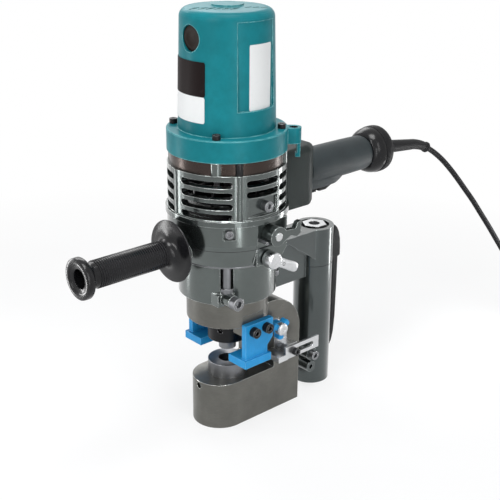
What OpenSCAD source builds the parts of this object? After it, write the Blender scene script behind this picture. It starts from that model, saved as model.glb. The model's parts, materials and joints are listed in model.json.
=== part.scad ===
// Portable electric hydraulic hole punch, in millimetres.
// Origin: under the punch axis, on the surface that it stands on.
// +Z runs up the punch axis, +X runs back to the switch handle.

/* [Frame] */
// Height of the lower jaw
jaw_h = 62; // [50:1:80]
// Width of the frame plate
frame_w = 70; // [64:1:80]
// Distance from the punch axis to the throat's back wall
throat_depth = 50; // [44:1:56]
// Height of the throat from the jaw to the sleeve
throat_h = 83; // [80:1:90]
// Depth of the back wall
frame_back = 45; // [36:1:48]
// Reach of the jaw in front of the punch axis
frame_nose = 48; // [40:1:60]
// Diameter of the sleeve above the throat
sleeve_d = 103; // [99:1:110]
// Height of the sleeve
sleeve_h = 36; // [32:1:42]

/* [Punch and die] */
// Punch diameter
punch_d = 22; // [12:0.5:24]
// Gap between punch and die, on the diameter
die_gap = 1; // [0.4:0.1:1.6]
// Die outside diameter
die_d = 50; // [42:1:54]
// How far the die stands above the jaw
die_proud = 18; // [12:1:20]
// Room for the work between die and strippers
work_gap = 13; // [8:1:14]
// Punch holder diameter
holder_d = 50; // [44:1:52]
// Punch travel
stroke = 22; // [16:1:24]

/* [Cylinder] */
// Piston diameter
piston_d = 72; // [60:1:76]
// Piston height
piston_h = 22; // [18:1:24]
// Piston rod diameter
rod_d = 40; // [36:1:42]
// Cylinder block diameter
block_d = 122; // [116:1:124]
// Cylinder block height
block_h = 49; // [46:1:56]

/* [Pump casing] */
// Pump casing diameter at the top
casing_d = 146; // [142:1:152]
// Pump casing diameter at its foot
casing_foot_d = 128; // [124:1:136]
// Pump casing height
casing_h = 55; // [54:1:64]
// Distance from the axis to the flat valve face
valve_face = 70; // [66:1:72]

/* [Motor] */
// Vent housing diameter
vent_d = 144; // [140:1:150]
// Vent housing height
vent_h = 61; // [58:1:70]
// Spacer ring diameter
band_d = 138; // [134:1:140]
// Spacer ring height
band_h = 15; // [10:1:20]
// Flange ring diameter
ring_d = 144; // [142:1:150]
// Flange ring height
ring_h = 26; // [20:1:30]
// Motor cup diameter at the flange
cup_d = 116; // [114:1:118]
// Motor cup diameter at the top
cup_top_d = 109.6; // [108:0.2:113]
// Motor cup height above the flange
cup_h = 138; // [130:1:150]
// Motor bore
bore_d = 92; // [86:1:94]
// Armature core diameter
core_d = 56; // [50:1:60]
// Motor shaft diameter
shaft_d = 12; // [10:1:14]

/* [Reduction gear] */
// Tooth module
gear_module = 1.5; // [1.25:0.25:1.5]
// Pinion teeth
pinion_teeth = 12; // [11:1:13]
// Drive gear teeth
gear_teeth = 28; // [26:1:30]
// Throw of the pump eccentric
pump_throw = 2; // [1:0.5:3]
// Plunger diameter
plunger_d = 8; // [6:0.5:10]

/* [Handles] */
// Height of the switch grip's axis above the pump casing
grip_up = 25; // [21:1:29]
// Switch grip diameter
grip_d = 48; // [44:1:52]
// Switch grip length
grip_len = 114; // [105:1:135]
// Height of the side handle's axis above the pump casing's foot
side_up = 20; // [16:1:22]
// Side handle guard diameter
guard_d = 76; // [66:1:84]
// Side handle grip diameter
side_d = 31; // [28:1:34]
// Side handle grip length
side_len = 116; // [100:1:130]

/* [Reservoir] */
// Distance from the punch axis to the reservoir column
column_x = 153; // [150:1:160]
// Column diameter
column_d = 52; // [48:1:54]
// How far the column ends below the pump casing
column_drop = 3; // [1:0.5:8]

/* [Cord] */
// Cord diameter
cord_d = 8; // [7:0.5:8]
// Loops in the stored coil
coil_loops = 7; // [5:1:8]
// Diameter at the middle of the coil's turns
coil_d = 92; // [88:1:100]

/* [Fits] */
// Running and locating clearance, on the radius
fit = 0.05; // [0.03:0.01:0.08]
// Clearance between parts that move past each other
free_gap = 0.5; // [0.3:0.1:1]

/* [Hidden] */
$fn = 64;

// Heights of the joints in the stack, from the floor up
sleeve_z = jaw_h + throat_h;
block_z = sleeve_z + sleeve_h;
casing_z = block_z + block_h;
vent_z = casing_z + casing_h;
band_z = vent_z + vent_h;
ring_z = band_z + band_h;
cup_z = ring_z + ring_h;
top_z = cup_z + cup_h;
die_top = jaw_h + die_proud;
foot_z = die_top + work_gap;
side_z = casing_z + side_up;
grip_z = vent_z + grip_up;
column_h = casing_z - column_drop;

// Frame details
back_x = throat_depth + frame_back;
frame_top = sleeve_z + 13;
frame_round = 50;
step_x = holder_d / 2 + 5;
step_z = jaw_h + throat_depth;
cheek_y = holder_d / 2 + 5;
flat_y = sleeve_d / 2 - 3;
flat_top = sleeve_z + 15;
slug_d = punch_d + die_gap + 4;
die_seat = 12;
neck_d = piston_d + 18;
neck_h = 5;

// Strippers
stripper_x = 18;
stripper_t = 7.5;
foot_out = 3.5;
stripper_y = flat_y;
stripper_foot_h = 10;
cheek_h = 13;
cheek_z = sleeve_z - cheek_h;
stripper_top = sleeve_z + 4;
stripper_screw_d = 8;
stripper_screw_x = [-6, 15];
stripper_screw_z = sleeve_z - 6;

// Ram and punch
piston_z = block_z + 2 + stroke;
stub_d = 28;
holder_h = 32;
holder_z = sleeve_z - free_gap - holder_h;
punch_head_z = holder_z + 4;
punch_head_h = 8;
punch_tip = foot_z + 4;
bush_d = rod_d + 12;
bush_seat = 6;
seal_h = 8;

// Pump casing inside
wall = 7;
pump_floor = 8;
gear_room_z = casing_z + 30;
gear_pitch = gear_module * (pinion_teeth + gear_teeth) / 2;
pump_x = gear_pitch;
eccentric_d = 20;
pump_shaft_d = 12;
pump_bearing_d = 24;
pump_bearing_h = 5;
pump_z = casing_z + pump_floor;
pump_block_h = 18;
pump_block_w = 44;
pump_block_l = 80;
plunger_len = 24;
gear_h = 12;
gear_z = gear_room_z + 6;
pressure_angle = 25;
backlash = 0.25;

// Levers on the valve face
selector_x = 5;
selector_z = casing_z + 40;
release_x = 3;
release_z = casing_z + 9;
spindle_d = 10;
spindle_in = 24;
stop_x = -9;
stop_z = casing_z + 34;

// Motor inside
motor_bearing_d = 28;
motor_bearing_h = 8;
vent_floor = 7;
lip_d = casing_d + 4;
top_wall = 5;
brush_z = top_z - 30;
brush_w = 9;
cap_d = 30;
cap_in = 6;
cap_h = 2.7;
commutator_d = 34;
screw_r = (cup_d + ring_d) / 4;
screw_turn = 38.8;
slot_h = 8;
slot_step = 13;
slot_first = 11.5;

// Handles
bracket_end = 125;
bracket_w = 70;
bracket_in = 40;
bracket_nose = 17;
bracket_slope = 13;
bracket_bore = max(lip_d, vent_d) + 0.2;
wire_bore = 20;
wire_in = 35;
bracket_z = vent_z - 12;
bracket_top = ring_z - 11;
grip_end = bracket_end + grip_len;
bell_d = 64;
bell_len = 34;
bell_cone = 18;
guard_len = 71;
guard_tip_d = cord_d + 5;
guard_bead = 5;
boss_out = 8;
boss_x = vent_d / 2 + boss_out;

// Gauge and its clamp knob
gauge_x = throat_depth;
gauge_y = stripper_y + stripper_t + foot_out + free_gap;
gauge_z = die_top + 6;
gauge_screw_x = 58;
gauge_travel = 31;
gauge_end = 102;
fence_x = 31;
knob_x = stripper_x + 24.5;
knob_z = sleeve_z - 18;
knob_stud_d = 8;
wing_r = 14.6;

// Cylinder block bolts and small fittings
bolt_turns = [49, 139, 229, 319];
channel_z = 16;
channel_d = 18;
tie_d = 12;
tie_embed = 2;
tie_r = block_d / 2 - 5;
lock_x = -40;
lock_y = -58;
lock_d = 10;
lock_len = 12;
lock_z = 8.6;
pump_room_d = casing_foot_d - 2 * wall - 2;
stop_d = 4;
stud_d = 12;
port_turn = 231.5;
port_z = vent_z - 9;
pocket_z = vent_z + 20;
drain_x = column_x - 22;
drain_y = 24;
drain_z = 49;
eye_d = 15;
rear_x = column_x + 12;
rear_w = 28;
rear_low = 30;
rear_out = 9;
rear_cap_w = 30;
rear_cap_h = 48;
rear_cap_out = 13;
rear_top = column_h - 5;

// Motor fittings
screw_d = 6;
screw_in = 12;
boss_d = 13;
boss_len = 24;
boss_web = 12;
boss_root = 5;
screw_turns = [for (k = [0:3]) screw_turn + 90 * k];
slot_groups = [[145, 167, 0], [184.5, 231.5, 0], [250.5, 282, 2], [290, 318, 0], [46, 72, 0], [78, 116, 0]];
vent_room_d = vent_d - 20;
bearing_top = top_z - 7;
core_z = cup_z + 15;
core_h = 68;
coil_end = 9;
fan_d = 108;
fan_hub_d = 30;
fan_h = 18;
fan_plate = 3;
fan_up = 20;
blade_t = 2.4;
cap_x = cup_top_d / 2;
cup_edge = 10;
pocket_r = cup_top_d / 2 - 0.3;
pocket_half = 28.5;
pocket_up = 29;
lug_turn = 41;
lug_r = 79;
lug_d = 18;
lug_z = ring_z + 6;
lug_hole_d = 11;
top_vent_turn = -42;
disc_d = 38;
disc_h = 2;
disc_back = 13;
slit_len = 10;
slit_w = 3.2;
slit_step = 9;
slits = concat(
  [for (row = [0, 1], i = [0:5]) [slit_step * i - 34 - 3 * row, -13 - 7.5 * row]],
  [for (i = [0:2]) [24 + slit_step * i, -5]]
);
rib_turns = [174, 241];
rib_r = vent_d / 2 - 3;
rib_d = 9;

// Handle fittings
house_z = grip_z - 29;
house_w = 30;
house_flat = 50;
house_len = 66;
house_rise = 20;
grip_wall = 5;
grip_bore = 12;
trigger_slot = 17;
trigger_gap = 0.8;
trigger_x = bracket_end + 25;
trigger_pivot = bracket_end + 61;
pivot_d = 8.4;
lock_pivot = bracket_end + 3;
side_total = side_len + 21;
guard_root_d = 18;
guard_tilt = 7;
guard_step = 2;

// Cord: from the guard's tip down to the coil on the floor
cord_floor = cord_d / 2 + 0.2;
coil_pitch = cord_d + 0.9;
coil_turns = coil_loops + 0.25;
coil_out = coil_d / 2 + coil_pitch * coil_turns / 4;
coil_x = 635;
coil_y = -74;
tail = 58;
plug_d = 24;
plug_z = cord_floor + coil_pitch;
guard_dir = [cos(guard_tilt), 0, -sin(guard_tilt)];
guard_tip = [grip_end + bell_len, 0, grip_z] + guard_len * guard_dir;
cord_points = [
  guard_tip, guard_tip + cord_d * guard_dir,
  [366, -1, 296.5], [381, -3, 289.5], [395, -6, 280], [408, -10, 268.5], [421, -15, 254], [433, -21, 238],
  [445, -28, 220], [457, -36, 201], [468, -44, 181], [479, -53, 160], [490, -62, 138], [501, -71, 116],
  [512, -80, 95], [523, -89, 74.5], [535, -99, 54], [546, -109, 36], [558, -118, 21], [572, -126.5, 10.5],
  [588, coil_y - coil_out + 2, cord_floor + 1],
  [coil_x - 3 * cord_d, coil_y - coil_out, cord_floor], [coil_x, coil_y - coil_out, cord_floor]
];

// Flat tube with square ends
module ring(od, id, h) {
  difference() {
    cylinder(d = od, h = h);
    translate([0, 0, -1]) cylinder(d = id, h = h + 2);
  }
}

// Block between two corners
module box(low, high) {
  translate(low) cube(high - low);
}

// Outline in X and Z, given thickness from y0 towards +Y
module side_plate(y0, t) {
  translate([0, y0 + t, 0]) rotate([90, 0, 0]) linear_extrude(t) children();
}

// Turns local +Z towards -Y
module to_front(x, y, z) {
  translate([x, y, z]) rotate([90, 0, 0]) children();
}

// Turns local +Z towards +X
module to_back(x, y, z) {
  translate([x, y, z]) rotate([0, 90, 0]) children();
}

// Socket head screw with its seat at local zero and its shank below
module socket_screw(d, len) {
  difference() {
    union() {
      translate([0, 0, -len]) cylinder(d = d, h = len + d);
      cylinder(d = 1.6 * d, h = d);
    }
    translate([0, 0, 0.4 * d]) cylinder(d = 0.95 * d, h = d, $fn = 6);
  }
}

// Involute gear outline
function involute(a) = tan(a) * 180 / PI - a;
function base_radius(teeth) = gear_module * teeth / 2 * cos(pressure_angle);
function half_tooth(r, teeth) =
  let (rb = base_radius(teeth), a = r > rb ? acos(rb / r) : 0)
  90 / teeth + involute(pressure_angle) - involute(a) - backlash * 90 / (PI * r);

module gear_outline(teeth, turn) {
  pitch_r = gear_module * teeth / 2;
  root = pitch_r - 1.1 * gear_module;
  tip = pitch_r + 0.8 * gear_module;
  foot = max(root + 0.1, base_radius(teeth));
  radii = concat([root], [for (i = [0:4]) foot + (tip - foot) * i / 4]);
  polygon([
    for (k = [0:teeth - 1], side = [-1, 1], i = [0:5])
      let (r = radii[side < 0 ? i : 5 - i], a = turn + k * 360 / teeth + side * half_tooth(r, teeth))
      r * [cos(a), sin(a)]
  ]);
}

// C-frame: jaw, back wall, sleeve and the cheeks that carry the strippers
module frame_outline() {
  difference() {
    union() {
      translate([frame_w / 2 - frame_nose, 0]) square([frame_nose - frame_w / 2 + back_x, jaw_h]);
      translate([throat_depth, 0]) square([frame_back, frame_top - frame_round]);
      translate([step_x, step_z]) square([back_x - frame_round - step_x, frame_top - step_z]);
      translate([back_x - frame_round, frame_top - frame_round]) intersection() {
        circle(r = frame_round);
        square(frame_round);
      }
    }
    translate([0, jaw_h]) square([throat_depth, step_z - jaw_h]);
  }
}

module c_frame() {
  color("dimgray") difference() {
    union() {
      side_plate(-frame_w / 2, frame_w) frame_outline();
      translate([frame_w / 2 - frame_nose, 0, 0]) cylinder(d = frame_w, h = jaw_h);
      translate([0, 0, sleeve_z]) cylinder(d = sleeve_d, h = sleeve_h);
      translate([0, 0, block_z]) ring(neck_d, piston_d + 2 * fit, neck_h);
      for (side = [-1, 1]) {
        box([-16, side > 0 ? cheek_y : -flat_y, cheek_z], [22, side > 0 ? flat_y : -cheek_y, sleeve_z + 5]);
      }
    }
    for (side = [-1, 1]) {
      box([-24, side > 0 ? flat_y : -sleeve_d, sleeve_z - 1],
        [30, side > 0 ? sleeve_d : -flat_y, flat_top]);
      for (x = stripper_screw_x) {
        translate([x, side * (flat_y + 1), stripper_screw_z]) rotate([side * 90, 0, 0])
          cylinder(d = stripper_screw_d + 2 * fit, h = 15);
      }
    }
    translate([0, 0, sleeve_z - 1]) cylinder(d = rod_d + 2 * free_gap, h = sleeve_h + 2);
    translate([0, 0, sleeve_z + bush_seat]) cylinder(d = bush_d + 2 * fit, h = sleeve_h);
    translate([0, 0, jaw_h - die_seat]) cylinder(d = die_d + 2 * fit, h = die_seat + 1);
    translate([0, 0, -1]) cylinder(d = slug_d, h = jaw_h);
    to_back(-frame_nose - 1, 0, jaw_h - die_seat / 2) cylinder(d = 8 + 2 * fit, h = frame_nose);
    to_front(knob_x, -frame_w / 2 + 16, knob_z) cylinder(d = knob_stud_d + 2 * fit, h = 17);
  }
}

module die() {
  color("silver") translate([0, 0, jaw_h - die_seat]) difference() {
    cylinder(d = die_d, h = die_seat + die_proud);
    translate([0, 0, -1]) cylinder(d = slug_d - 1, h = die_seat + die_proud - 7);
    cylinder(d = punch_d + die_gap, h = die_seat + die_proud + 1);
  }
}

module die_screw() {
  color("black") to_back(4 - frame_nose, 0, jaw_h - die_seat / 2) difference() {
    cylinder(d = 8, h = frame_nose - 4 - die_d / 2 - fit);
    translate([0, 0, -1]) cylinder(d = 4.6, h = 6, $fn = 6);
  }
}

// Stripper on the -Y side, with its foot under the sleeve
module stripper() {
  difference() {
    union() {
      side_plate(-stripper_y - stripper_t, stripper_t) polygon([
        [-stripper_x, foot_z], [stripper_x, foot_z], [stripper_x, foot_z + 20],
        [stripper_x + 9, foot_z + 30], [stripper_x + 9, stripper_top], [-stripper_x, stripper_top]
      ]);
      box([-stripper_x - foot_out, -stripper_y - stripper_t - foot_out, foot_z],
        [stripper_x + foot_out, -holder_d / 2 - 2.5, foot_z + stripper_foot_h]);
    }
    for (x = stripper_screw_x) {
      to_front(x, -stripper_y + 1, stripper_screw_z) cylinder(d = stripper_screw_d + 1, h = stripper_t + 2);
    }
  }
}

module right_stripper() {
  color("deepskyblue") stripper();
}

module left_stripper() {
  color("dodgerblue") mirror([0, 1, 0]) stripper();
}

module stripper_screws() {
  color("black") for (side = [-1, 1], x = stripper_screw_x) {
    translate([x, side * (stripper_y + stripper_t), stripper_screw_z]) rotate([-side * 90, 0, 0])
      socket_screw(stripper_screw_d, stripper_t + 13);
  }
}

// Cylinder block with four open bolt channels and the lock bolt's saddle
module cylinder_block() {
  color("gray") translate([0, 0, block_z]) difference() {
    union() {
      cylinder(d = block_d, h = block_h);
      to_front(lock_x, lock_y + 28, lock_z) cylinder(d = lock_d + 6.5, h = 28);
      box([lock_x - 12, lock_y + 14, 0], [lock_x + 10, lock_y + 28, 15]);
    }
    translate([0, 0, -1]) cylinder(d = piston_d + 2 * fit, h = block_h + 2);
    translate([0, 0, -1]) cylinder(d = neck_d + 2 * fit, h = neck_h + 1);
    for (a = bolt_turns) rotate(a) {
      translate([tie_r, 0, channel_z]) cylinder(d = channel_d, h = block_h);
      translate([tie_r, 0, channel_z - tie_embed]) cylinder(d = tie_d + 2 * fit, h = tie_embed + 1);
    }
    to_front(lock_x, lock_y + lock_len + 1, lock_z) cylinder(d = lock_d + 2 * fit, h = lock_len + 3);
  }
}

module tie_bolts() {
  color("dimgray") for (a = bolt_turns) rotate(a) translate([tie_r, 0, block_z + channel_z - tie_embed]) {
    cylinder(d = tie_d, h = block_h - channel_z + tie_embed + pump_floor - 1);
    translate([0, 0, tie_embed]) cylinder(d = tie_d + 5, h = 6);
  }
}

module lock_bolt() {
  color("black") to_front(lock_x, lock_y, block_z + lock_z) socket_screw(lock_d, lock_len);
}

module rod_bush() {
  color("goldenrod") translate([0, 0, sleeve_z + bush_seat])
    ring(bush_d, rod_d + 2 * fit, sleeve_h - bush_seat - seal_h);
}

module rod_seal() {
  color("black") translate([0, 0, block_z - seal_h]) ring(bush_d, rod_d + 2 * fit, seal_h);
}

// Piston, rod and the stub that the punch holder screws on
module ram() {
  color("silver") difference() {
    union() {
      translate([0, 0, piston_z]) cylinder(d = piston_d, h = piston_h);
      translate([0, 0, sleeve_z]) cylinder(d = rod_d, h = piston_z - sleeve_z);
      translate([0, 0, punch_head_z + punch_head_h])
        cylinder(d = stub_d, h = sleeve_z - punch_head_z - punch_head_h);
    }
    translate([0, 0, piston_z + piston_h / 2 - 4]) ring(piston_d + 2, piston_d - 8, 8);
  }
}

module piston_seal() {
  color("black") translate([0, 0, piston_z + piston_h / 2 - 4 + fit])
    ring(piston_d - fit, piston_d - 8 + 2 * fit, 8 - 2 * fit);
}

module punch_holder() {
  color("black") translate([0, 0, holder_z]) difference() {
    cylinder(d = holder_d, h = holder_h);
    translate([0, 0, -1]) cylinder(d = punch_d + 2 * fit, h = holder_h);
    translate([0, 0, punch_head_z - holder_z]) cylinder(d = stub_d + 2 * fit, h = holder_h);
    for (a = [28:90:298]) rotate(a) translate([holder_d / 2 - 6, 0, holder_h / 2])
      rotate([0, 90, 0]) cylinder(d = 7, h = 9);
  }
}

module punch() {
  color("silver") union() {
    translate([0, 0, punch_tip]) cylinder(d = punch_d, h = punch_head_z + punch_head_h - punch_tip);
    translate([0, 0, punch_head_z]) cylinder(d = stub_d, h = punch_head_h);
  }
}

// Pump casing: cone, valve boss for the levers, boss for the side handle
module pump_casing() {
  color("gray") difference() {
    union() {
      translate([0, 0, casing_z]) cylinder(d1 = casing_foot_d, d2 = casing_d, h = gear_room_z - casing_z);
      translate([0, 0, gear_room_z]) cylinder(d = casing_d, h = vent_z - gear_room_z);
      side_plate(-valve_face, valve_face) translate([0, casing_z]) polygon([
        [-14, 2], [22, 2], [34, 16], [34, casing_h], [-14, casing_h]
      ]);
      translate([-boss_x, 0, side_z]) rotate([0, 90, 0]) cylinder(d1 = 30, d2 = 34, h = boss_x - 30);
    }
    translate([0, 0, pump_z]) cylinder(d = pump_room_d, h = casing_h);
    translate([0, 0, gear_room_z]) cylinder(d = casing_d - 2 * wall, h = casing_h);
    translate([pump_x, 0, pump_z - pump_bearing_h]) cylinder(d = pump_bearing_d + 2 * fit, h = casing_h);
    for (a = bolt_turns) rotate(a) translate([tie_r, 0, casing_z - 1])
      cylinder(d = tie_d + 2 * fit, h = pump_floor);
    box([-14, -casing_d, casing_z - 1], [34, -valve_face, vent_z + 1]);
    to_front(selector_x, -valve_face + spindle_in, selector_z)
      cylinder(d = spindle_d + 2 * fit, h = spindle_in + 1);
    to_front(release_x, -valve_face + spindle_in, release_z)
      cylinder(d = spindle_d + 2 * fit, h = spindle_in + 1);
    to_front(stop_x, -valve_face + 8, stop_z) cylinder(d = stop_d + 2 * fit, h = 9);
    to_back(-boss_x - 1, 0, side_z) cylinder(d = stud_d + 2 * fit, h = boss_x);
    rotate(port_turn) box([casing_d / 2 - 5, -7.2, port_z - 6.5], [casing_d / 2 + 5, 7.2, port_z + 6.5]);
    rotate(port_turn) to_back(casing_d / 2 - wall - 1, 0, port_z) cylinder(d = 6 + 2 * fit, h = 9);
  }
}

// Socket plugs: pressure port on the casing, vent pocket, reservoir drain
module port_plugs() {
  color("black") {
    rotate(port_turn) to_back(casing_d / 2 - 5, 0, port_z) socket_screw(6, 2);
    to_front(0, -vent_d / 2 + 5, pocket_z) socket_screw(8, 9);
    to_front(drain_x, -drain_y, drain_z) socket_screw(8, 10);
  }
}

module stop_pin() {
  color("silver") to_front(stop_x, -valve_face + 7, stop_z) cylinder(d = stop_d, h = 20);
}

// Radial plunger pump round the eccentric
module pump_block() {
  color("silver") translate([0, 0, pump_z]) difference() {
    intersection() {
      cylinder(d = pump_room_d - 2 * fit, h = pump_block_h);
      box([pump_x - pump_block_w / 2, -pump_block_l / 2, -1],
        [pump_x + pump_block_w / 2, pump_block_l / 2, pump_block_h + 1]);
    }
    translate([pump_x, 0, -1]) cylinder(d = eccentric_d + 2 * pump_throw + 3, h = pump_block_h + 2);
    to_front(pump_x, pump_block_l / 2 + 1, pump_block_h / 2)
      cylinder(d = plunger_d + 2 * fit, h = pump_block_l + 2);
  }
}

module plungers() {
  color("gainsboro") for (side = [-1, 1]) {
    translate([pump_x, side * (eccentric_d / 2 + pump_throw + 0.3), pump_z + pump_block_h / 2])
      rotate([-side * 90, 0, 0]) cylinder(d = plunger_d, h = plunger_len);
  }
}

module pump_bearings() {
  color("silver") for (z = [pump_z - pump_bearing_h, vent_z]) {
    translate([pump_x, 0, z]) ring(pump_bearing_d, pump_shaft_d + 2 * fit, pump_bearing_h);
  }
}

module drive_gear() {
  color("darkgray") translate([pump_x, 0, gear_z]) difference() {
    linear_extrude(gear_h) gear_outline(gear_teeth, 180 / gear_teeth * (1 - gear_teeth % 2));
    translate([0, 0, -1]) cylinder(d = pump_shaft_d + 2 * fit, h = gear_h + 2);
  }
}

module eccentric_shaft() {
  color("silver") translate([pump_x, 0, 0]) {
    translate([0, 0, pump_z - pump_bearing_h + 0.3])
      cylinder(d = pump_shaft_d, h = vent_z + pump_bearing_h - pump_z + pump_bearing_h - 0.6);
    translate([-pump_throw, 0, pump_z + 2]) cylinder(d = eccentric_d, h = pump_block_h - 4);
    translate([0, 0, pump_z + pump_block_h])
      cylinder(d = pump_shaft_d + 6, h = gear_z - pump_z - pump_block_h);
  }
}

// Bright release lever: hub and drooping paddle
module release_lever() {
  color("white") difference() {
    to_front(release_x, -valve_face - 1, release_z) rotate([0, 0, -27]) union() {
      cylinder(d = 21, h = 14);
      translate([8, -6, 3]) cube([30, 12, 9]);
      translate([38, 0, 3]) cylinder(d = 12, h = 9);
    }
    to_front(release_x, -valve_face, release_z) cylinder(d = spindle_d + 2 * fit, h = 10);
    translate([release_x, -valve_face - 8, release_z]) rotate([0, 27, 0]) translate([15, 0, 0])
      cylinder(d = 4, h = 12);
  }
}

module release_spindle() {
  color("silver") to_front(release_x, -valve_face + spindle_in - 1, release_z)
    cylinder(d = spindle_d, h = spindle_in + 8);
}

// Dark selector lever: hub, arm and forked tip
module selector_lever() {
  color("dimgray") difference() {
    to_front(selector_x, -valve_face - 1, selector_z) union() {
      cylinder(d = 24, h = 16);
      translate([0, 0, 9]) linear_extrude(7) polygon([
        [6, -9], [20, -3], [27, -6], [31, -6], [36, -3], [36, 12], [31, 11], [27, 4], [6, 6]
      ]);
    }
    to_front(selector_x, -valve_face, selector_z) cylinder(d = spindle_d + 2 * fit, h = 20);
  }
}

module selector_spindle() {
  color("silver") to_front(selector_x, -valve_face + spindle_in - 1, selector_z)
    cylinder(d = spindle_d, h = spindle_in + 17);
}

// One vent slot with round ends
module vent_slot(from, to, z) {
  reach = vent_d / 2 - 14;
  rotate(from) rotate_extrude(angle = to - from) translate([reach, z - slot_h / 2]) square([28, slot_h]);
  for (a = [from, to]) rotate(a) to_back(reach, 0, z) cylinder(d = slot_h - 0.4, h = 28);
}

module vent_housing() {
  color("dimgray") difference() {
    union() {
      difference() {
        translate([0, 0, vent_z]) union() {
          cylinder(d = vent_d, h = vent_h);
          cylinder(d = lip_d, h = vent_floor);
        }
        translate([0, 0, vent_z + vent_floor]) cylinder(d = vent_room_d, h = vent_h);
      }
      translate([0, 0, vent_z]) cylinder(d = motor_bearing_d + 14, h = 5 + motor_bearing_h);
      intersection() {
        box([-28, -vent_d / 2, vent_z + vent_floor], [19, 0, vent_z + 35]);
        translate([0, 0, vent_z]) ring(vent_d - 2, vent_room_d - 6, vent_h);
      }
      for (a = screw_turns) rotate(a) translate([screw_r, 0, band_z - boss_len])
        cylinder(d = boss_d, h = boss_len);
      for (a = screw_turns) rotate(a) box(
        [min(screw_r, vent_room_d / 2 + boss_root), -boss_web / 2, band_z - boss_len],
        [max(screw_r, vent_room_d / 2 + boss_root), boss_web / 2, band_z]
      );
      for (a = rib_turns) rotate(a) translate([rib_r, 0, vent_z + vent_floor - 1])
        cylinder(d = rib_d, h = vent_h - vent_floor + 1);
    }
    for (group = slot_groups, i = [group[2]:3]) {
      vent_slot(group[0], group[1], vent_z + slot_first + i * slot_step);
    }
    box([-26, -vent_d / 2 - 1, vent_z + 10], [17, -vent_d / 2 + 5, vent_z + 32]);
    to_front(0, -vent_d / 2 + 14, pocket_z) cylinder(d = 8 + 2 * fit, h = 15);
    translate([0, 0, vent_z + 5]) cylinder(d = motor_bearing_d + 2 * fit, h = motor_bearing_h + 1);
    translate([0, 0, vent_z - 1]) cylinder(d = shaft_d + 4, h = vent_h);
    translate([pump_x, 0, vent_z - 1]) cylinder(d = pump_bearing_d + 2 * fit, h = pump_bearing_h + 1);
    for (a = screw_turns) rotate(a) translate([screw_r, 0, band_z - screw_in - 3])
      cylinder(d = screw_d + 2 * fit, h = screw_in + 4);
  }
}

module spacer_ring() {
  color("saddlebrown") translate([0, 0, band_z]) difference() {
    union() {
      ring(band_d, bore_d + 12, band_h);
      for (a = screw_turns) rotate(a) translate([screw_r, 0, 0]) cylinder(d = 14, h = band_h);
    }
    for (a = screw_turns) rotate(a) translate([screw_r, 0, -1]) cylinder(d = screw_d + 1, h = band_h + 2);
  }
}

module lower_bearing() {
  color("silver") translate([0, 0, vent_z + 5]) ring(motor_bearing_d, shaft_d + 2 * fit, motor_bearing_h);
}

module upper_bearing() {
  color("silver") translate([0, 0, bearing_top - motor_bearing_h])
    ring(motor_bearing_d, shaft_d + 2 * fit, motor_bearing_h);
}

// Motor cup with its flange ring, lugs, side flats and top vents
module cup_solid() {
  rotate_extrude() polygon(concat(
    [[0, ring_z], [ring_d / 2, ring_z], [ring_d / 2, cup_z - 1], [ring_d / 2 - 1, cup_z]],
    [[cup_d / 2, cup_z]],
    [for (a = [0:15:90])
      [cup_top_d / 2 - cup_edge + cup_edge * cos(a), top_z - cup_edge + cup_edge * sin(a)]],
    [[0, top_z]]
  ));
  rotate(top_vent_turn) translate([0, disc_back, top_z - 1]) cylinder(d = disc_d, h = disc_h + 1);
  for (side = [-1, 1]) rotate(side * lug_turn) {
    translate([lug_r, 0, lug_z]) cylinder(d = lug_d, h = cup_z - 1 - lug_z);
    box([ring_d / 2 - 4, -lug_d / 2, lug_z], [lug_r, lug_d / 2, cup_z - 1]);
    box([lug_r + 2, -4, lug_z - 17], [lug_r + lug_d / 2 - 1, 4, lug_z + 1]);
  }
}

module motor_housing() {
  color("teal") difference() {
    cup_solid();
    translate([0, 0, ring_z - 5]) cylinder(d = bore_d, h = top_z - 40 - ring_z + 5);
    translate([0, 0, ring_z - 5]) cylinder(d = ring_d + 1, h = 5);
    translate([0, 0, top_z - 41]) difference() {
      cylinder(d = bore_d - 10, h = 41 - top_wall);
      translate([0, 0, 41 - 18]) cylinder(d = motor_bearing_d + 12, h = 20);
    }
    translate([0, 0, bearing_top - motor_bearing_h - 4])
      cylinder(d = motor_bearing_d + 2 * fit, h = motor_bearing_h + 4);
    for (side = [-1, 1]) {
      rotate(90 * side - pocket_half) rotate_extrude(angle = 2 * pocket_half)
        translate([pocket_r, cup_z + pocket_up]) square([20, cup_h - pocket_up - cup_edge]);
      rotate(side * lug_turn) translate([lug_r, 0, ring_z - 6]) cylinder(d = lug_hole_d, h = ring_h + 9);
      translate([side * (cap_x - cap_in), 0, brush_z]) rotate([0, side * 90, 0])
        cylinder(d = cap_d + 2 * fit, h = 20);
      translate([0, 0, brush_z]) rotate([0, side * 90, 0]) translate([0, 0, bore_d / 2 - 6])
        cylinder(d = brush_w + 7, h = 20);
    }
    for (a = screw_turns) rotate(a) translate([screw_r, 0, ring_z - 1])
      cylinder(d = screw_d + 1, h = ring_h + 2);
    rotate(top_vent_turn) for (place = slits) {
      translate([place[0], place[1], top_z]) rotate(35)
        cube([slit_len, slit_w, 2 * top_wall + 2], center = true);
    }
  }
}

module housing_screws() {
  color("black") for (a = screw_turns) rotate(a) translate([screw_r, 0, cup_z])
    socket_screw(screw_d, ring_h + band_h + screw_in);
}

module brush_caps() {
  color("black") for (side = [-1, 1]) translate([side * (cap_x - cap_in), 0, brush_z])
    rotate([0, side * 90, 0]) cylinder(d = cap_d, h = cap_h);
}

module carbon_brushes() {
  color("dimgray") for (side = [-1, 1]) {
    inner = commutator_d / 2 + 0.3;
    box([side > 0 ? inner : cap_in - cap_x, -brush_w / 2, brush_z - brush_w / 2],
      [side > 0 ? cap_x - cap_in : -inner, brush_w / 2, brush_z + brush_w / 2]);
  }
}

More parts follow.
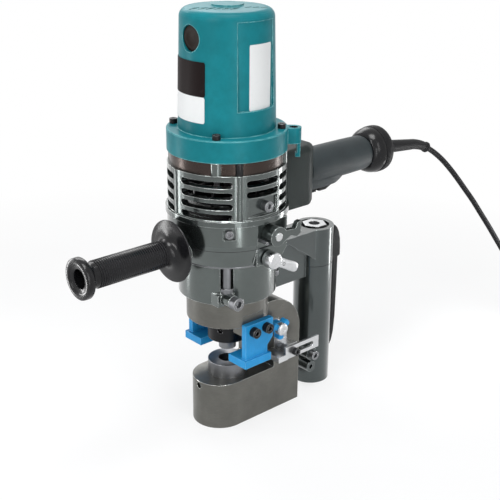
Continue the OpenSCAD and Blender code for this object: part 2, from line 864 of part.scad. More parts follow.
module stator_core() {
  color("silver") translate([0, 0, core_z]) ring(bore_d - 2 * fit, core_d + 3, core_h);
}

module field_coils() {
  color("peru") for (z = [core_z - coil_end, core_z + core_h]) {
    translate([0, 0, z]) ring(bore_d - 8, core_d + 8, coil_end);
  }
}

// Motor shaft with the pinion cut on its lower end
module armature_shaft() {
  color("silver") union() {
    translate([0, 0, gear_z - 4]) cylinder(d = shaft_d, h = bearing_top - 1 - gear_z + 4);
    translate([0, 0, gear_z - 1]) linear_extrude(gear_h + 2) gear_outline(pinion_teeth, 0);
  }
}

module armature_core() {
  color("peru") translate([0, 0, core_z]) ring(core_d, shaft_d + 2 * fit, core_h);
}

module commutator() {
  color("peru") translate([0, 0, brush_z - 10]) ring(commutator_d, shaft_d + 2 * fit, 18);
}

module fan() {
  color("black") translate([0, 0, vent_z + fan_up]) difference() {
    union() {
      cylinder(d = fan_hub_d, h = fan_h);
      cylinder(d = fan_d, h = fan_plate);
      for (a = [0:30:330]) rotate(a) translate([fan_hub_d / 2 - blade_t, -blade_t / 2, 0])
        cube([(fan_d - fan_hub_d) / 2, blade_t, fan_h]);
    }
    translate([0, 0, -1]) cylinder(d = shaft_d + 2 * fit, h = fan_h + 2);
  }
}

// Oil reservoir: column, web to the cylinder block, lug and drain boss
module reservoir() {
  color("dimgray") difference() {
    union() {
      translate([column_x, 0, 0]) cylinder(d = column_d, h = column_h);
      side_plate(-20, 40) polygon([
        [40, column_h], [column_x, column_h], [column_x, column_h - 60],
        [column_x - 18, column_h - 40], [88, casing_z - 11], [40, casing_z - 11]
      ]);
      side_plate(-10, 20) polygon([
        [40, column_h - 1], [column_x, column_h - 1], [column_x, frame_top + 2], [40, frame_top + 2]
      ]);
      to_front(drain_x, 0, drain_z) cylinder(d = 18, h = drain_y);
      to_front(drain_x, 0, drain_z - 20) cylinder(d = 16, h = drain_y);
    }
    translate([0, 0, block_z]) cylinder(d = block_d + 2 * fit, h = block_h);
    cylinder(d = sleeve_d + 2 * fit, h = block_z + 1);
    translate([column_x, 0, column_h - 7]) cylinder(d = 40, h = 8);
    translate([column_x, 0, 8]) cylinder(d = column_d - 14, h = column_h - 30);
    translate([column_x, 0, column_h - 30]) cylinder(d = 20 + 2 * fit, h = 30);
    to_front(drain_x, 0, drain_z - 20) cylinder(d = 6.6, h = drain_y + 1);
    to_front(drain_x, -drain_y + 12, drain_z) cylinder(d = 8 + 2 * fit, h = 13);
  }
}

module filler_plug() {
  color("white") translate([column_x, 0, 0]) difference() {
    union() {
      translate([0, 0, column_h - 7]) cylinder(d = 33, h = 8, $fn = 6);
      translate([0, 0, column_h - 22]) cylinder(d = 20, h = 20);
    }
    translate([0, 0, column_h - 16]) cylinder(d = eye_d, h = 20);
  }
}

module rear_guard() {
  color("black") difference() {
    union() {
      box([rear_x, -rear_w / 2, rear_low],
        [column_x + column_d / 2 + rear_out, rear_w / 2, rear_top - rear_cap_h]);
      box([rear_x, -rear_cap_w / 2, rear_top - rear_cap_h],
        [column_x + column_d / 2 + rear_cap_out, rear_cap_w / 2, rear_top]);
    }
    translate([column_x, 0, 0]) cylinder(d = column_d + 2 * fit, h = column_h);
  }
}

// Gauge: bracket on the frame, sliding fence with a slotted bar
module gauge_bracket() {
  color("silver") difference() {
    union() {
      box([gauge_x, -gauge_y, gauge_z + 1], [gauge_x + 16, -frame_w / 2, gauge_z + 17]);
      side_plate(-frame_w / 2 - 6, 6) polygon([
        [gauge_x, gauge_z + 17], [gauge_x + 16, gauge_z + 17], [gauge_x + 16, knob_z - 4],
        [knob_x + 6, knob_z + 8],
        [knob_x - 8, knob_z + 8], [knob_x - 8, knob_z - 8], [gauge_x, knob_z - 8]
      ]);
    }
    to_front(knob_x, -frame_w / 2 + 1, knob_z) cylinder(d = knob_stud_d + 1, h = 8);
    to_front(gauge_screw_x, -gauge_y + 12, gauge_z + 8) cylinder(d = 6 + 2 * fit, h = 13);
  }
}

module gauge() {
  color("white") difference() {
    union() {
      box([fence_x, -gauge_y - 4, gauge_z - 1], [fence_x + 16, -frame_w / 2 - 1, foot_z - free_gap]);
      box([fence_x + 12, -gauge_y - 4, gauge_z], [gauge_end, -gauge_y - free_gap, gauge_z + 16.5]);
    }
    box([gauge_screw_x, -gauge_y - 5, gauge_z + 4.5],
      [gauge_screw_x + gauge_travel, -gauge_y, gauge_z + 11.5]);
    for (x = [0, gauge_travel]) {
      to_front(gauge_screw_x + x, -gauge_y + 1, gauge_z + 8) cylinder(d = 7, h = 6);
    }
  }
}

module gauge_screw() {
  color("black") to_front(gauge_screw_x, -gauge_y - 4 - 0.3, gauge_z + 8) socket_screw(6, 15);
}

// Clamp knob: bright hub and stud, three wings
module wing_knob() {
  color("deepskyblue") to_front(knob_x, -frame_w / 2 - 6 - 0.3, knob_z) union() {
    translate([0, 0, -14]) cylinder(d = knob_stud_d, h = 20);
    cylinder(d = 17, h = 16);
    for (a = [30, 150, 270]) rotate(a) translate([0, -4, 5]) cube([wing_r, 8, 10]);
  }
}

// Side handle: guard disc, ribbed grip, end flange with a hollow end
module side_handle() {
  ribs = 11;
  rib = (side_len - 14) / ribs;
  color("black") to_back(-boss_x - side_total, 0, side_z) mirror([0, 0, 1]) translate([0, 0, -side_total])
    difference() {
      rotate_extrude() polygon(concat(
        [[0, 0], [15, 0], [15, 3], [guard_d / 2, 5], [guard_d / 2, 9], [side_d / 2 + 2, 12]],
        [for (i = [0:ribs - 1], p = [0, 1]) [side_d / 2 + p, 16 + (i + 0.15 + 0.6 * p) * rib]],
        [[side_d / 2, side_len + 6], [24.5, side_total - 9], [24.5, side_total], [0, side_total]]
      ));
      translate([0, 0, -1]) cylinder(d = stud_d + 2 * fit, h = 41);
      translate([0, 0, side_total - 24]) cylinder(d = 22, h = 25);
    }
}

module handle_stud() {
  color("silver") to_back(-boss_x - 38, 0, side_z) cylinder(d = stud_d, h = 38 + 22);
}

// Bracket between the vent housing and the switch grip
module handle_bracket() {
  color("dimgray") difference() {
    translate([0, 0, bracket_z]) linear_extrude(bracket_top - bracket_z) polygon([
      [bracket_in, -bracket_w / 2], [bracket_end - bracket_nose, -bracket_w / 2],
      [bracket_end, bracket_slope - bracket_w / 2], [bracket_end, bracket_w / 2 - bracket_slope],
      [bracket_end - bracket_nose, bracket_w / 2], [bracket_in, bracket_w / 2]
    ]);
    translate([0, 0, bracket_z - 1]) cylinder(d = bracket_bore, h = bracket_top - bracket_z + 2);
    to_back(bracket_end - wire_in, 0, grip_z) cylinder(d = wire_bore, h = wire_in + 5);
  }
}

module switch_grip() {
  color("dimgray") difference() {
    union() {
      to_back(bracket_end, 0, grip_z) cylinder(d = grip_d, h = grip_len);
      side_plate(-house_w / 2, house_w) polygon([
        [bracket_end, grip_z], [bracket_end, house_z], [bracket_end + house_flat, house_z],
        [bracket_end + house_len, grip_z - house_rise], [bracket_end + house_len, grip_z]
      ]);
    }
    to_back(bracket_end + grip_wall - 1, 0, grip_z)
      cylinder(d = grip_d - 2 * grip_wall, h = grip_len - 2 * grip_wall + 2);
    to_back(bracket_end - 1, 0, grip_z) cylinder(d = grip_bore, h = grip_len + 2);
    box([trigger_x, -trigger_slot / 2, house_z - 10],
      [trigger_pivot + pivot_d / 2 + trigger_gap, trigger_slot / 2, grip_z]);
  }
}

// Trigger paddle, hinged at its back end
module trigger() {
  color("black") side_plate(-8, 16) polygon([
    [trigger_x + 1.6, house_z - 6], [trigger_x + 1.6, house_z + 12], [trigger_pivot, house_z + 12],
    [trigger_pivot, house_z + 4], [trigger_x + 14, house_z - 6]
  ]);
  color("black") to_front(trigger_pivot, 8, house_z + 8) cylinder(d = pivot_d, h = 16);
}

module lock_lever() {
  color("black") side_plate(-5, 10) polygon([
    [lock_pivot, house_z - 0.3], [lock_pivot + 4, house_z - 0.3], [lock_pivot + 5, house_z - 3],
    [trigger_x - 1, house_z - 4], [trigger_x - 1, house_z - 7], [lock_pivot, house_z - 7]
  ]);
  color("black") to_front(lock_pivot, 5, house_z - 3) cylinder(d = 5.2, h = 10);
}

module switch_block() {
  color("black") box([bracket_end + 12, -12.6, grip_z - 6], [bracket_end + 60, 12.6, grip_z + 14]);
}

module end_bell() {
  color("black") to_back(grip_end, 0, grip_z) difference() {
    union() {
      cylinder(d1 = grip_d - 2, d2 = bell_d, h = bell_cone);
      translate([0, 0, bell_cone]) cylinder(d = bell_d, h = bell_len - bell_cone);
    }
    translate([0, 0, -1]) cylinder(d = 10, h = bell_len);
    translate([0, 0, bell_len - 15]) cylinder(d = guard_root_d - 6 + 2 * fit, h = 16);
  }
}

// Strain relief, seated in the bell and drooping towards its tip
module cord_guard() {
  color("black") translate([grip_end + bell_len, 0, grip_z]) union() {
    to_back(-14, 0, 0) cylinder(d = guard_root_d - 6, h = 20);
    rotate([0, 90 + guard_tilt, 0]) {
      translate([0, 0, guard_step]) cylinder(d1 = guard_root_d, d2 = guard_tip_d, h = guard_len - guard_step);
      translate([0, 0, guard_len - guard_bead]) cylinder(d = guard_tip_d + 3, h = guard_bead);
    }
  }
}

// Round tube along a list of points, as triangles
function along(p, i) = let (n = len(p)) p[min(i + 1, n - 1)] - p[max(i - 1, 0)];
function unit(v) = v / norm(v);
function hoop(p, t, up, d, sides) =
  let (u = unit(cross(t, up)), v = unit(cross(u, t)))
  [for (k = [0:sides - 1]) p + d / 2 * (cos(360 * k / sides) * u + sin(360 * k / sides) * v)];

module tube(points, first, last, up, d, sides) {
  n = len(points);
  rings = [
    for (i = [0:n - 1])
      hoop(points[i], i == 0 ? first : i == n - 1 ? last : along(points, i), up, d, sides)
  ];
  polyhedron(
    points = [for (r = rings, p = r) p],
    faces = concat(
      [for (k = [1:sides - 2]) [0, k, k + 1]],
      [for (i = [0:n - 2], k = [0:sides - 1], h = [0, 1])
        let (a = i * sides + k, b = i * sides + (k + 1) % sides)
        h == 0 ? [a, a + sides, b] : [b, a + sides, b + sides]],
      [for (k = [1:sides - 2]) [(n - 1) * sides, (n - 1) * sides + k + 1, (n - 1) * sides + k]]
    )
  );
}

// Points of the coil: a spiral in on the floor and out again one layer up
function coil_point(s) =
  let (
    half = coil_turns / 2, turns = s * coil_turns,
    r = coil_out - coil_pitch * (half - abs(turns - half)),
    climb = min(1, max(0, (turns - half) * 2 + 0.5)),
    a = 270 + 360 * turns
  )
  [coil_x + r * cos(a), coil_y + r * sin(a), cord_floor + coil_pitch * climb];
coil_steps = coil_turns * 24;
coil_points = concat(
  [for (i = [0:coil_steps]) coil_point(i / coil_steps)],
  [for (y = [12, 36, tail]) [coil_x + coil_out, coil_y + y, cord_floor + coil_pitch]]
);
function span(p, i = 0) = i >= len(p) - 1 ? 0 : norm(p[i + 1] - p[i]) + span(p, i + 1);
function least_gap(p) = min([
  for (i = [0:2:len(p) - 30], j = [i + 16:len(p) - 1]) norm(p[i] - p[j])
]) - cord_d;
echo(cord_length = span(cord_points) + span(coil_points), coil_gap = least_gap(coil_points));

module cord() {
  color("black") tube(cord_points, guard_dir, [1, 0, 0], [-0.6, 0.8, 0], cord_d, 8);
}

module cord_coil() {
  color("black") tube(coil_points, [1, 0, 0], [0, 1, 0], [0, 0, 1], cord_d, 6);
}

// Two pin plug lying beside the coil
module plug() {
  color("black") translate([coil_x + coil_out, coil_y + tail, plug_z]) rotate([-90, 0, 0]) difference() {
    union() {
      cylinder(d1 = cord_d + 6, d2 = plug_d, h = 12);
      translate([0, 0, 12]) cylinder(d = plug_d, h = 26);
      for (x = [-6.35, 6.35]) translate([x - 3.2, -0.75, 38]) cube([6.4, 1.5, 17]);
    }
    translate([0, 0, -1]) cylinder(d = cord_d - 4, h = 10);
  }
}

c_frame();
die();
die_screw();
left_stripper();
right_stripper();
stripper_screws();
cylinder_block();
tie_bolts();
lock_bolt();
rod_bush();
rod_seal();
ram();
piston_seal();
punch_holder();
punch();
pump_casing();
port_plugs();
stop_pin();
pump_block();
plungers();
pump_bearings();
drive_gear();
eccentric_shaft();
release_lever();
release_spindle();
selector_lever();
selector_spindle();
vent_housing();
spacer_ring();
lower_bearing();
upper_bearing();
motor_housing();
housing_screws();
brush_caps();
carbon_brushes();
stator_core();
field_coils();
armature_shaft();
armature_core();
commutator();
fan();
reservoir();
filler_plug();
rear_guard();
gauge_bracket();
gauge();
gauge_screw();
wing_knob();
side_handle();
handle_stud();
handle_bracket();
switch_grip();
trigger();
lock_lever();
switch_block();
end_bell();
cord_guard();
cord();
cord_coil();
plug();
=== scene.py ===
# %% [markdown]
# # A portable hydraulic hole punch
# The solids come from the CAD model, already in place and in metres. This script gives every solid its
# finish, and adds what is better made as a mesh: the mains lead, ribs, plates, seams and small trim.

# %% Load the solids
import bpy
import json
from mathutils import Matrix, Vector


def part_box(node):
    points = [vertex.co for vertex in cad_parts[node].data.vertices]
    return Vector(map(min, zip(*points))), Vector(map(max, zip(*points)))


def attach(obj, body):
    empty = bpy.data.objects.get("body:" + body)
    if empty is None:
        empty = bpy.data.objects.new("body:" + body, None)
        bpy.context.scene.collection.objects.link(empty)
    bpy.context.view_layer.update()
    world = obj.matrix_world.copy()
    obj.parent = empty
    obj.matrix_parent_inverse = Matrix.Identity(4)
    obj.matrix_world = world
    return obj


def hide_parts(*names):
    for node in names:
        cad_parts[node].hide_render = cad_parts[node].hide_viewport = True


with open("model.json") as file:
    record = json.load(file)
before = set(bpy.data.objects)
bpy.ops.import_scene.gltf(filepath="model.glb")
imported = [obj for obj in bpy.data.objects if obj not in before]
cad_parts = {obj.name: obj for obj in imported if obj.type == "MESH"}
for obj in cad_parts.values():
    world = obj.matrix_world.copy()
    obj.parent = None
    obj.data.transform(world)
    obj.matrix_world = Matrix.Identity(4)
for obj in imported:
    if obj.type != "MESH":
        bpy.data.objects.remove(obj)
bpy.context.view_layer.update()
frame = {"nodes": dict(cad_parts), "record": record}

import json
import math
import bmesh
import bpy
from mathutils import Euler, Matrix, Vector

scene = bpy.context.scene
nodes = frame["nodes"]
MM = 0.001
print("solids loaded:", len(nodes))

# %% [markdown]
# ## Camera
# The picture was taken from the left front, a little above the tool. A 72 mm lens on a 36 mm sensor
# gives the mild perspective that the round flanges show. The punch axis stands left of the middle,
# because the lead runs out of the frame on the right.

# %% Camera
TILT, HEADING, ROLL = (math.radians(angle) for angle in (68.27, -42, 0.45))
eye = bpy.data.cameras.new("photo_camera")
eye.lens = 72
eye.sensor_width = 36
camera = bpy.data.objects.new("photo_camera", eye)
camera.location = (-0.7491, -0.8741, 0.6877)
look = Euler((TILT, 0, HEADING)).to_matrix() @ Matrix.Rotation(ROLL, 3, "Z")
camera.rotation_euler = look.to_euler()
scene.collection.objects.link(camera)
scene.camera = camera
print("camera:", eye.lens, "mm lens")

# %% [markdown]
# ## Lamps
# A large soft lamp above makes a plain studio. Tall strips on the left and in front make the long highlights
# on the motor cup and the column, and three narrow strips near the floor draw bands on the metal below.
# A lamp behind lights the upper edges. Area lamps are used, because bright metal mirrors their shape.

# %% Lamps
scene.view_settings.view_transform = "Standard"
LAMPS = {  # name: place, point it shines at, width and height, watts
    "key_left": ((-1.35, -0.35, 1.15), (0.0, 0, 0.30), (0.22, 1.3), 13),
    "front_strip": ((-0.1, -1.6, 1.0), (0.05, 0, 0.28), (0.20, 1.3), 5.4),
    "fill_right": ((1.3, -1.3, 0.9), (0.15, 0, 0.25), (0.22, 1.2), 0.4),
    "low_left": ((-0.37, 0.41, 0.22), (0.0, 0, 0.22), (0.05, 0.44), 1.1),
    "low_front": ((-0.25, -0.76, 0.30), (0.0, 0, 0.30), (0.06, 0.60), 1.5),
    "low_right": ((0.53, -0.16, 0.12), (0.0, 0, 0.12), (0.05, 0.24), 0.55),
    "back_edge": ((0.7, 1.4, 1.3), (0.1, 0, 0.3), (1.2, 0.7), 10),
    "top": ((-0.1, -0.2, 1.9), (0.1, 0, 0.3), (0.7, 0.7), 19),
}
for name, (place, aim, size, watts) in LAMPS.items():
    light = bpy.data.lights.new(name, "AREA")
    light.shape = "RECTANGLE"
    light.size, light.size_y = size
    light.energy = watts
    lamp = bpy.data.objects.new(name, light)
    lamp.location = place
    lamp.rotation_euler = (Vector(aim) - Vector(place)).to_track_quat("-Z", "Y").to_euler()
    scene.collection.objects.link(lamp)
print("lamps:", ", ".join(LAMPS))

# %% [markdown]
# ## Shader maths
# A material is a small calculation on the surface. Wrapping a socket in a class lets the calculation
# be written as a formula, and each operator adds its Math node. Every other node comes from `make`.

# %% Shader maths
class Shade:
    """A socket in a node tree that can be calculated with."""

    def __init__(self, tree, socket=None):
        self.tree, self.socket = tree, socket

    def make(self, kind, settings=None, links=None, out=0):
        node = self.tree.nodes.new(kind)
        for key, value in (settings or {}).items():
            setattr(node, key, value)
        for key, value in (links or {}).items():
            if isinstance(value, Shade):
                self.tree.links.new(value.socket, node.inputs[key])
            else:
                node.inputs[key].default_value = value
        return Shade(self.tree, node.outputs[out])

    def math(self, operation, a, b):
        return self.make("ShaderNodeMath", {"operation": operation}, {0: a, 1: b})

    def __add__(self, other): return self.math("ADD", self, other)
    def __sub__(self, other): return self.math("SUBTRACT", self, other)
    def __mul__(self, other): return self.math("MULTIPLY", self, other)
    def __rsub__(self, other): return self.math("SUBTRACT", other, self)
    __radd__ = __add__

    def clip(self, low, high):
        """0 below low, 1 above high, straight between."""
        return self.make("ShaderNodeMapRange", None, {"Value": self, "From Min": low, "From Max": high})

    def blend(self, a, b):
        """Colour a where this is 0, b where it is 1."""
        rgba = [(*c, 1) if isinstance(c, tuple) else c for c in (a, b)]
        return self.make("ShaderNodeMix", {"data_type": "RGBA"}, {0: self, 6: rgba[0], 7: rgba[1]}, 2)

    def place(self):
        return self.make("ShaderNodeTexCoord", out="Object")

    def axis(self, name):
        return self.make("ShaderNodeSeparateXYZ", None, {0: self.place()}, name)

    def noise(self, scale, detail, rough=0.55, stretch=(1, 1, 1)):
        where = self.place()
        if stretch != (1, 1, 1):
            where = self.make("ShaderNodeMapping", None, {"Vector": where, "Scale": stretch})
        links = {"Vector": where, "Scale": scale, "Detail": detail, "Roughness": rough}
        return self.make("ShaderNodeTexNoise", None, links)

    def pits(self, scale):
        return self.make("ShaderNodeTexVoronoi", None, {"Vector": self.place(), "Scale": scale})

    def bump(self, strength, distance, height, **normal):
        links = {"Strength": strength, "Distance": distance, "Height": height, **normal}
        return self.make("ShaderNodeBump", None, links)

    def edge(self, radius):
        """1 on a convex or concave edge, 0 on open faces, with the rounded normal it came from."""
        round_normal = self.make("ShaderNodeBevel", {"samples": 4}, {"Radius": radius})
        flat = self.make("ShaderNodeNewGeometry", out="Normal")
        both = {0: round_normal, 1: flat}
        dot = self.make("ShaderNodeVectorMath", {"operation": "DOT_PRODUCT"}, both, "Value")
        return (1 - dot).clip(0.01, 0.16), round_normal


def new_finish(name):
    material = bpy.data.materials.new(name)
    material.use_nodes = True
    shader = material.node_tree.nodes["Principled BSDF"]
    return material, Shade(material.node_tree), shader


def plug_in(tool, shader, **sockets):
    """Sets or links sockets of the surface shader, with _ for a space in a socket's name."""
    for key, value in sockets.items():
        socket = shader.inputs[key.replace("_", " ")]
        if isinstance(value, Shade):
            tool.tree.links.new(value.socket, socket)
        else:
            socket.default_value = (*value, 1) if isinstance(value, tuple) else value


# %% [markdown]
# ## World and floor
# The tool stands in a plain white studio. The world is white to the camera and in mirrors, and dim as a light,
# so that the lamps shape the tool. The floor has a soft mottle so that it reads as a surface, and it glows
# more with distance until it meets the world. A curved backdrop would do too, but it would need to be large.

# %% World and floor
FLOOR = 9  # half its width, in metres
WORLD_FILL = 0.12  # strength of the world as a light, of 1 as a background
FLOOR_GLOW = 0.76  # how much of the floor near the tool is plain white


def shown(tool):
    """1 for rays that show the background: from the camera, off metal or through something clear."""
    kinds = ("Camera", "Glossy", "Transmission")
    rays = [tool.make("ShaderNodeLightPath", out=f"Is {kind} Ray") for kind in kinds]
    return (rays[0] + rays[1] + rays[2]).clip(0, 1)


world = bpy.data.worlds.new("studio")
scene.world = world
world.use_nodes = True
tool = Shade(world.node_tree)
backdrop = world.node_tree.nodes["Background"]
ray = shown(tool)
plug_in(tool, backdrop, Color=ray.blend((0.80, 0.84, 0.88), (1.0, 1.0, 1.0)),
        Strength=WORLD_FILL + ray * (1 - WORLD_FILL))

floor_mesh = bpy.data.meshes.new("floor")
corners = [(-FLOOR, -FLOOR, 0), (FLOOR, -FLOOR, 0), (FLOOR, FLOOR, 0), (-FLOOR, FLOOR, 0)]
floor_mesh.from_pydata(corners, [], [(0, 1, 2, 3)])
floor = bpy.data.objects.new("floor", floor_mesh)
scene.collection.objects.link(floor)
paper, tool, shader = new_finish("floor_paper")
mottle = tool.noise(6, 2).clip(0.3, 0.7)
plug_in(tool, shader, Base_Color=mottle.blend((0.80, 0.81, 0.82), (0.84, 0.85, 0.86)), Roughness=0.85)
x, y = tool.axis("X"), tool.axis("Y")
far = (x * x + y * y).clip(0.15, 1.0)
glow = tool.make("ShaderNodeEmission", None, {"Color": (1, 1, 1, 1), "Strength": 1.0})
lit = Shade(tool.tree, shader.outputs[0])
share = shown(tool) * (FLOOR_GLOW + far * (1 - FLOOR_GLOW))
ends = tool.make("ShaderNodeMixShader", None, {0: share, 1: lit, 2: glow})
tool.tree.links.new(ends.socket, paper.node_tree.nodes["Material Output"].inputs[0])
floor_mesh.materials.append(paper)
print("floor:", 2 * FLOOR, "m across")

# %% [markdown]
# ## Paint and castings
# The cup is painted teal. The vent housing, the pump casing, the cylinder and the column are castings under a
# clear coat. Each finish is worked out from position, so it needs no image and no unwrapping. Noise makes the
# orange peel or the grain. A Bevel node rounds the sharp CAD edges in the shading, and its turn away from the
# face also finds those edges, which are painted brighter: partly rubbed finish, partly a painted highlight.

# %% Painted and cast finishes
finishes = {}


def tint(colour, factor):
    return tuple(c * factor for c in colour)


def cast(name, colour, bright_edge, rough, grain, grain_scale,
         metal=0.0, coat=0.0, radius=0.0011, edge_wear_and_highlight=0.75, spec=0.5):
    """A painted or bare casting: tint that drifts, grain, and pale edges, part rubbed finish, part painted
    highlight.
    """
    material, tool, shader = new_finish(name)
    edge, normal = tool.edge(radius)
    drift = tool.noise(14, 4).clip(0.3, 0.7)
    dirt = tool.noise(55, 5, 0.65).clip(0.42, 0.75)
    base = drift.blend(tint(colour, 0.82), tint(colour, 1.14))
    base = (dirt * 0.35).blend(base, tint(colour, 0.55))
    # Pale edges: partly rubbed finish, partly a painted highlight along the rims.
    worn_and_lit_edge = edge * tool.noise(90, 4).clip(0.25, 0.6) * edge_wear_and_highlight
    base = worn_and_lit_edge.blend(base, bright_edge)
    bump = tool.bump(grain, 0.0006, tool.noise(grain_scale, 4, 0.7), Normal=normal)
    plug_in(tool, shader, Base_Color=base, Metallic=metal, Roughness=rough + dirt * 0.07 - worn_and_lit_edge * 0.08,
            Normal=bump, Coat_Weight=coat, Coat_Roughness=0.18, Specular_IOR_Level=spec)
    finishes[name] = material


# The teal's pale edge colour is mostly a painted highlight on the cup's rims.
cast("teal_housing", (0.010, 0.180, 0.212), (0.36, 0.80, 0.82), 0.34, 0.05, 420,
     radius=0.0016, edge_wear_and_highlight=1.0, spec=0.08)
cast("cast_dark", (0.068, 0.083, 0.080), (0.66, 0.70, 0.69), 0.19, 0.08, 320, metal=0.9, coat=1.0, edge_wear_and_highlight=1.0)
cast("cast_grey", (0.080, 0.096, 0.092), (0.74, 0.78, 0.77), 0.17, 0.06, 260, metal=0.9, coat=1.0, edge_wear_and_highlight=1.0)
cast("column_paint", (0.044, 0.057, 0.057), (0.50, 0.54, 0.54), 0.21, 0.07, 300, metal=0.75, coat=1.0)
cast("bronze_band", (0.046, 0.033, 0.028), (0.55, 0.50, 0.46), 0.24, 0.12, 280, metal=0.75)
print("paint and castings:", ", ".join(finishes))


# %% [markdown]
# ## Machined and plated metal
# The frame, the bolts, the punch and the die are turned or milled, and the strippers and the clamp knob are
# painted blue over that. A brushed image would have to be laid along each face. Noise that is stretched along
# one axis gives the same fine tool marks everywhere.

# %% Machined and plated metal
def machined(name, colour, bright_edge, rough, lines, stretch, metal=1.0, spec=0.5):
    """Turned or milled metal: fine tool marks along one direction, stains, and bright edges, part worn, part
    painted highlight.
    """
    material, tool, shader = new_finish(name)
    edge, normal = tool.edge(0.0008)
    marks = tool.noise(900, 2, 0.5, stretch)
    stain = tool.noise(26, 5, 0.6).clip(0.35, 0.75)
    base = stain.blend(tint(colour, 1.12), tint(colour, 0.80))
    base = (marks.clip(0.3, 0.7) * 0.25).blend(base, tint(colour, 0.7))
    # Edges, convex and concave, are blended pale: partly worn metal, partly a painted highlight.
    base = (edge * 0.8).blend(base, bright_edge)
    plug_in(tool, shader, Base_Color=base, Metallic=metal, Specular_IOR_Level=spec,
            Roughness=rough + stain * 0.14 + marks * 0.08 - edge * 0.08,
            Normal=tool.bump(lines, 0.0002, marks, Normal=normal))
    finishes[name] = material


machined("frame_steel", (0.140, 0.138, 0.126), (0.84, 0.85, 0.82), 0.24, 0.10, (0.15, 0.15, 1), metal=0.9)
machined("bright_steel", (0.62, 0.63, 0.64), (0.92, 0.93, 0.94), 0.20, 0.06, (1, 0.1, 1))
machined("tool_steel", (0.20, 0.205, 0.215), (0.70, 0.71, 0.72), 0.28, 0.08, (0.1, 0.1, 1))
machined("blue_steel", (0.014, 0.275, 0.610), (0.28, 0.66, 0.90), 0.42, 0.04, (1, 1, 0.2), metal=0.0, spec=0.3)
machined("black_screw", (0.012, 0.012, 0.013), (0.34, 0.35, 0.36), 0.34, 0.05, (0.2, 0.2, 1), metal=0.7)
machined("copper", (0.55, 0.22, 0.10), (0.85, 0.50, 0.32), 0.32, 0.08, (0.2, 0.2, 1))
machined("bronze", (0.42, 0.27, 0.12), (0.75, 0.55, 0.30), 0.34, 0.08, (0.2, 0.2, 1))
machined("carbon", (0.035, 0.035, 0.038), (0.10, 0.10, 0.11), 0.55, 0.10, (1, 1, 1), metal=0.1)


# %% [markdown]
# ## Plastic and rubber
# Handles, caps, lead and plug are moulded, and the mould leaves a leathery texture. Modelled pits would cost
# millions of faces, so Voronoi cells and fine noise make them as a bump.

# %% Moulded plastic and rubber
def moulded(name, colour, rough, grain, grain_scale, edge_colour=None, *, spec):
    """Moulded plastic or rubber: leathery spark texture, a little dust, and paler edges, part handling wear,
    part painted highlight.
    Without an edge colour the edges are left out, for a round cord, which has none, and for the black slabs of
    painted shade in the top slits."""
    material, tool, shader = new_finish(name)
    drift = tool.noise(20, 4).clip(0.3, 0.7)
    dust = tool.noise(130, 5, 0.7).clip(0.55, 0.85)
    base = drift.blend(tint(colour, 0.8), tint(colour, 1.2))
    base = (dust * 0.18).blend(base, tuple(min(1, c * 2.2 + 0.01) for c in colour))
    height = tool.pits(grain_scale) * 0.6 + tool.noise(grain_scale * 1.7, 3, 0.6) * 0.5
    rounded = {}
    if edge_colour:
        edge, rounded["Normal"] = tool.edge(0.0012)
        # Paler edges: partly worn by handling, partly a painted highlight.
        base = (edge * 0.5).blend(base, edge_colour)
    plug_in(tool, shader, Base_Color=base, Roughness=rough + dust * 0.15, Specular_IOR_Level=spec,
            Normal=tool.bump(grain, 0.0004, height, **rounded))
    finishes[name] = material


moulded("grip_plastic", (0.026, 0.034, 0.037), 0.48, 0.30, 900, (0.13, 0.14, 0.145), spec=0.25)
moulded("black_plastic", (0.007, 0.007, 0.008), 0.20, 0.03, 700, (0.07, 0.07, 0.08), spec=0.25)
moulded("cap_brown", (0.014, 0.009, 0.007), 0.55, 0.10, 500, (0.05, 0.04, 0.035), spec=0.12)
moulded("rubber", (0.011, 0.011, 0.012), 0.50, 0.06, 1100, (0.05, 0.05, 0.054), spec=0.14)
moulded("lead_jacket", (0.010, 0.010, 0.011), 0.45, 0.03, 1100, spec=0.14)
# Dull black for the slabs that paint the shade inside the top slits of the cup.
moulded("felt", (0.004, 0.004, 0.004), 0.80, 0.10, 1500, spec=0.0)
moulded("bracket_plastic", (0.017, 0.023, 0.022), 0.50, 0.40, 650, (0.13, 0.135, 0.135), spec=0.15)
print("finishes so far:", len(finishes))

# %% [markdown]
# ## Places and pieces
# Sizes are in millimetres here, as on a drawing. A frame says where an axis starts and where it points. A
# piece lies at the origin with its points already in place, and it rides on one of the tool's bodies, so
# that it moves with that body's joint.

# %% Places and pieces
X, Y, Z = Vector((1, 0, 0)), Vector((0, 1, 0)), Vector((0, 0, 1))
slot_of = {part["node"]: part["material_slot"] for part in frame["record"]["subparts"]}


def on_circle(radius, degrees, z):
    """The point at a height, a radius and a turn about the punch axis."""
    turn = math.radians(degrees)
    return Vector((radius * math.cos(turn), radius * math.sin(turn), z))


def frame_at(origin_mm, along, side=None):
    """A matrix whose +Z runs along an axis and whose +X leans to side, from an origin in millimetres."""
    z = Vector(along).normalized()
    x = Vector(side) if side else (Z if abs(z.z) < 0.9 else X)
    x = (x - z * x.dot(z)).normalized()
    turn = Matrix((x, z.cross(x), z)).transposed().to_4x4()
    return Matrix.Translation(Vector(origin_mm) * MM) @ turn


def moved(matrix, x, y, z):
    """The matrix moved by millimetres along its own axes."""
    return matrix @ Matrix.Translation(Vector((x, y, z)) * MM)


def finish_mesh(name, bm):
    """Closes doubles, points faces outwards and returns the mesh."""
    bmesh.ops.remove_doubles(bm, verts=bm.verts, dist=1e-6)
    bmesh.ops.recalc_face_normals(bm, faces=bm.faces)
    mesh = bpy.data.meshes.new(name)
    bm.to_mesh(mesh)
    bm.free()
    return mesh


